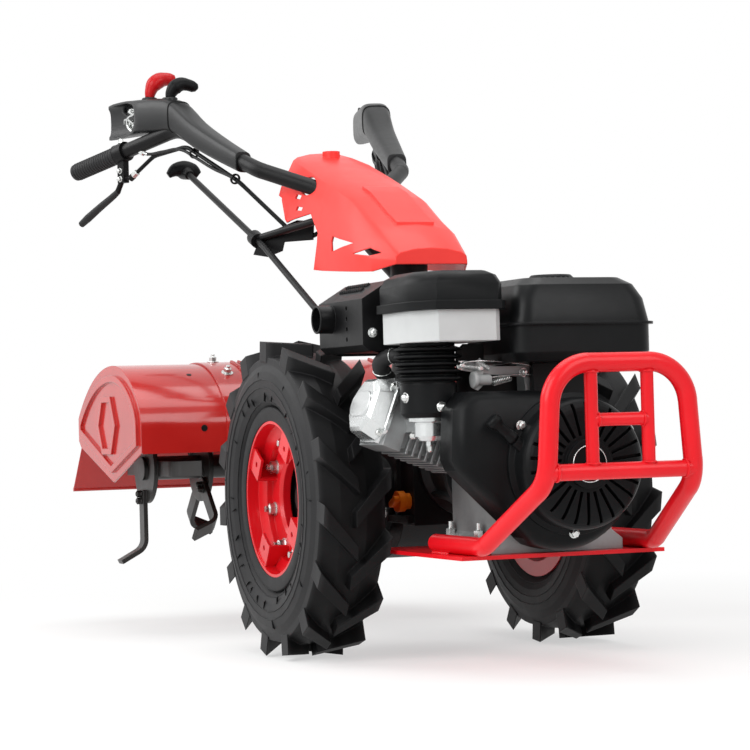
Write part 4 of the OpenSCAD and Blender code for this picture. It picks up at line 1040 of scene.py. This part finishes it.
def dressHandles():
    # rubber sleeve on each hand lever, the idle cable that joins the CAD cable at the lower clip, adjusters
    h = handle
    for s, side in sides:
        sleeve = []
        for along, up in h["sleeve"]:
            p = Vector(h["clamp"]) + Vector(h["way"]) * along + Vector((0, 0, up))
            sleeve.append((p.x, s * p.y, p.z))
        pipe("leverSleeve" + side, sleeve, h["sleeveRadius"], "gripRubber", "handlebar", h["sleeveTaper"])
        cable = [(x, s * y, z) for x, y, z in h["idleCable"]]
        pipe("idleCable" + side, cable, 3.0, "gripRubber", "handlebar")
        clips = [at((x, s * y, z), (-0.9, s * 0.2, 0.36), upward, 0.0085) for x, y, z in h["clips"]]
        scatter("cableClips" + side, rings, clips, "satinBlack", "handlebar", thick=0.22, flat=1.8)
        ferrules = []
        for (x, y, z), (i, j, k), grow in h["ferrules"]:
            ferrules.append(at((x, s * y, z), (i, s * j, k), upward, grow))
        bolted("cableFerrules" + side, ferrules, "handlebar", head=0.012, tall=0.010, washer=0.012,
               stud=0.012)
    pipe("shiftKnob", h["knob"], 16.0, "blackPlastic", "handlebar", h["knobTaper"])
    # stepped plate under the rod's guide
    face = facing(h["guide"], h["guideWay"], (0.835, 0.55, 0))
    plate("guidePlate", h["guidePlate"], 4.0, face, "satinBlack", "handlebar")


reshaped("blower_housing", "fanHousing", "blackPlastic", 24.0, narrowBlower)
dressConsole()
dressLevers()
dressWheels()
dressDrive()
dressRotor()
dressHood()
dressEngine()
dressMuffler()
dressTank()
dressBars()
dressBumper()
dressControls()
dressSpark()
dressDipstick()
dressHandles()


shot = dict(place=(3928.44, -1673.91, 130.95), azimuth=68.164, elevation=-0.927, roll=-1.567, lens=122.14,
            sensor=36.0)


def makeCamera():
    az, el, ro = (math.radians(shot[k]) for k in ("azimuth", "elevation", "roll"))
    back = Vector((math.sin(az) * math.cos(el), -math.cos(az) * math.cos(el), math.sin(el)))
    level = Vector((math.cos(az), math.sin(az), 0.0))
    plumb = back.cross(level)
    right = level * math.cos(ro) + plumb * math.sin(ro)
    up = plumb * math.cos(ro) - level * math.sin(ro)
    data = bpy.data.cameras.new("photoCamera")
    data.lens = shot["lens"]
    data.sensor_width = shot["sensor"]
    cam = bpy.data.objects.new("photoCamera", data)
    cam.matrix_world = axes(right, up, back, spot(shot["place"]))
    bpy.context.scene.collection.objects.link(cam)
    bpy.context.scene.camera = cam


studio = dict(floorSize=40.0, floorColour="#f2f2f1", worldLight=0.36, near=0.9, far=1.9, glow=0.55)
white = (1, 1, 1, 1)


def seenPlain(builder):
    # one where the camera, a glossy surface or glass looks at it
    seen = builder.node("ShaderNodeLightPath", out="Is Camera Ray")
    for kind in ("Is Glossy Ray", "Is Transmission Ray"):
        seen = seen.larger(builder.node("ShaderNodeLightPath", out=kind))
    return seen


def makeFloor():
    mesh = bpy.data.meshes.new("floor")
    s = studio["floorSize"] / 2
    mesh.from_pydata([(-s, -s, 0), (s, -s, 0), (s, s, 0), (-s, s, 0)], [], [(0, 1, 2, 3)])
    floor = bpy.data.objects.new("floor", mesh)
    bpy.context.scene.collection.objects.link(floor)
    f = Finish("floorPale")
    diffuse = f.node("ShaderNodeBsdfDiffuse", None, {"Color": linear(studio["floorColour"])})
    glow = f.node("ShaderNodeEmission", None, {"Color": white, "Strength": 1.0})
    # white away from the machine, with its shadow kept below it
    away = f.node("ShaderNodeVectorMath", dict(operation="LENGTH"), {0: f.coords}, "Value")
    away = away.smooth(studio["near"], studio["far"])
    share = seenPlain(f) * (away * (1.0 - studio["glow"]) + studio["glow"])
    both = f.node("ShaderNodeMixShader", None, {0: share, 1: diffuse, 2: glow})
    f.fill(f.tree.nodes["Material Output"], {"Surface": both})
    mesh.materials.append(f.material)


def makeWorld():
    world = bpy.data.worlds.new("studioWorld")
    world.use_nodes = True
    bpy.context.scene.world = world
    w = Builder(world.node_tree)
    strength = seenPlain(w) * (1.0 - studio["worldLight"]) + studio["worldLight"]
    w.fill(w.tree.nodes["Background"], {"Color": white, "Strength": strength})


lamps = [  # place, aimed at, size, power
    ((1.6, -3.2, 2.2), (0.1, 0.0, 0.4), 2.4, 100.0),
    ((3.2, 0.8, 2.2), (0.3, 0.0, 0.3), 2.0, 45.0),
    ((-1.8, -2.4, 2.4), (-0.3, 0.0, 0.4), 2.0, 45.0),
    ((0.0, 0.0, 3.4), (0.0, 0.0, 0.0), 2.6, 60.0),
]


def makeLamps():
    for i, (place, aim, size, power) in enumerate(lamps):
        data = bpy.data.lights.new("softbox%d" % i, "AREA")
        data.size = size
        data.energy = power
        lamp = bpy.data.objects.new("softbox%d" % i, data)
        lamp.location = place
        lamp.rotation_euler = (Vector(aim) - Vector(place)).to_track_quat("-Z", "Y").to_euler()
        bpy.context.scene.collection.objects.link(lamp)


bpy.context.scene.view_settings.view_transform = "Standard"
makeCamera()
makeFloor()
makeWorld()
makeLamps()
print("camera, floor and lamps set")
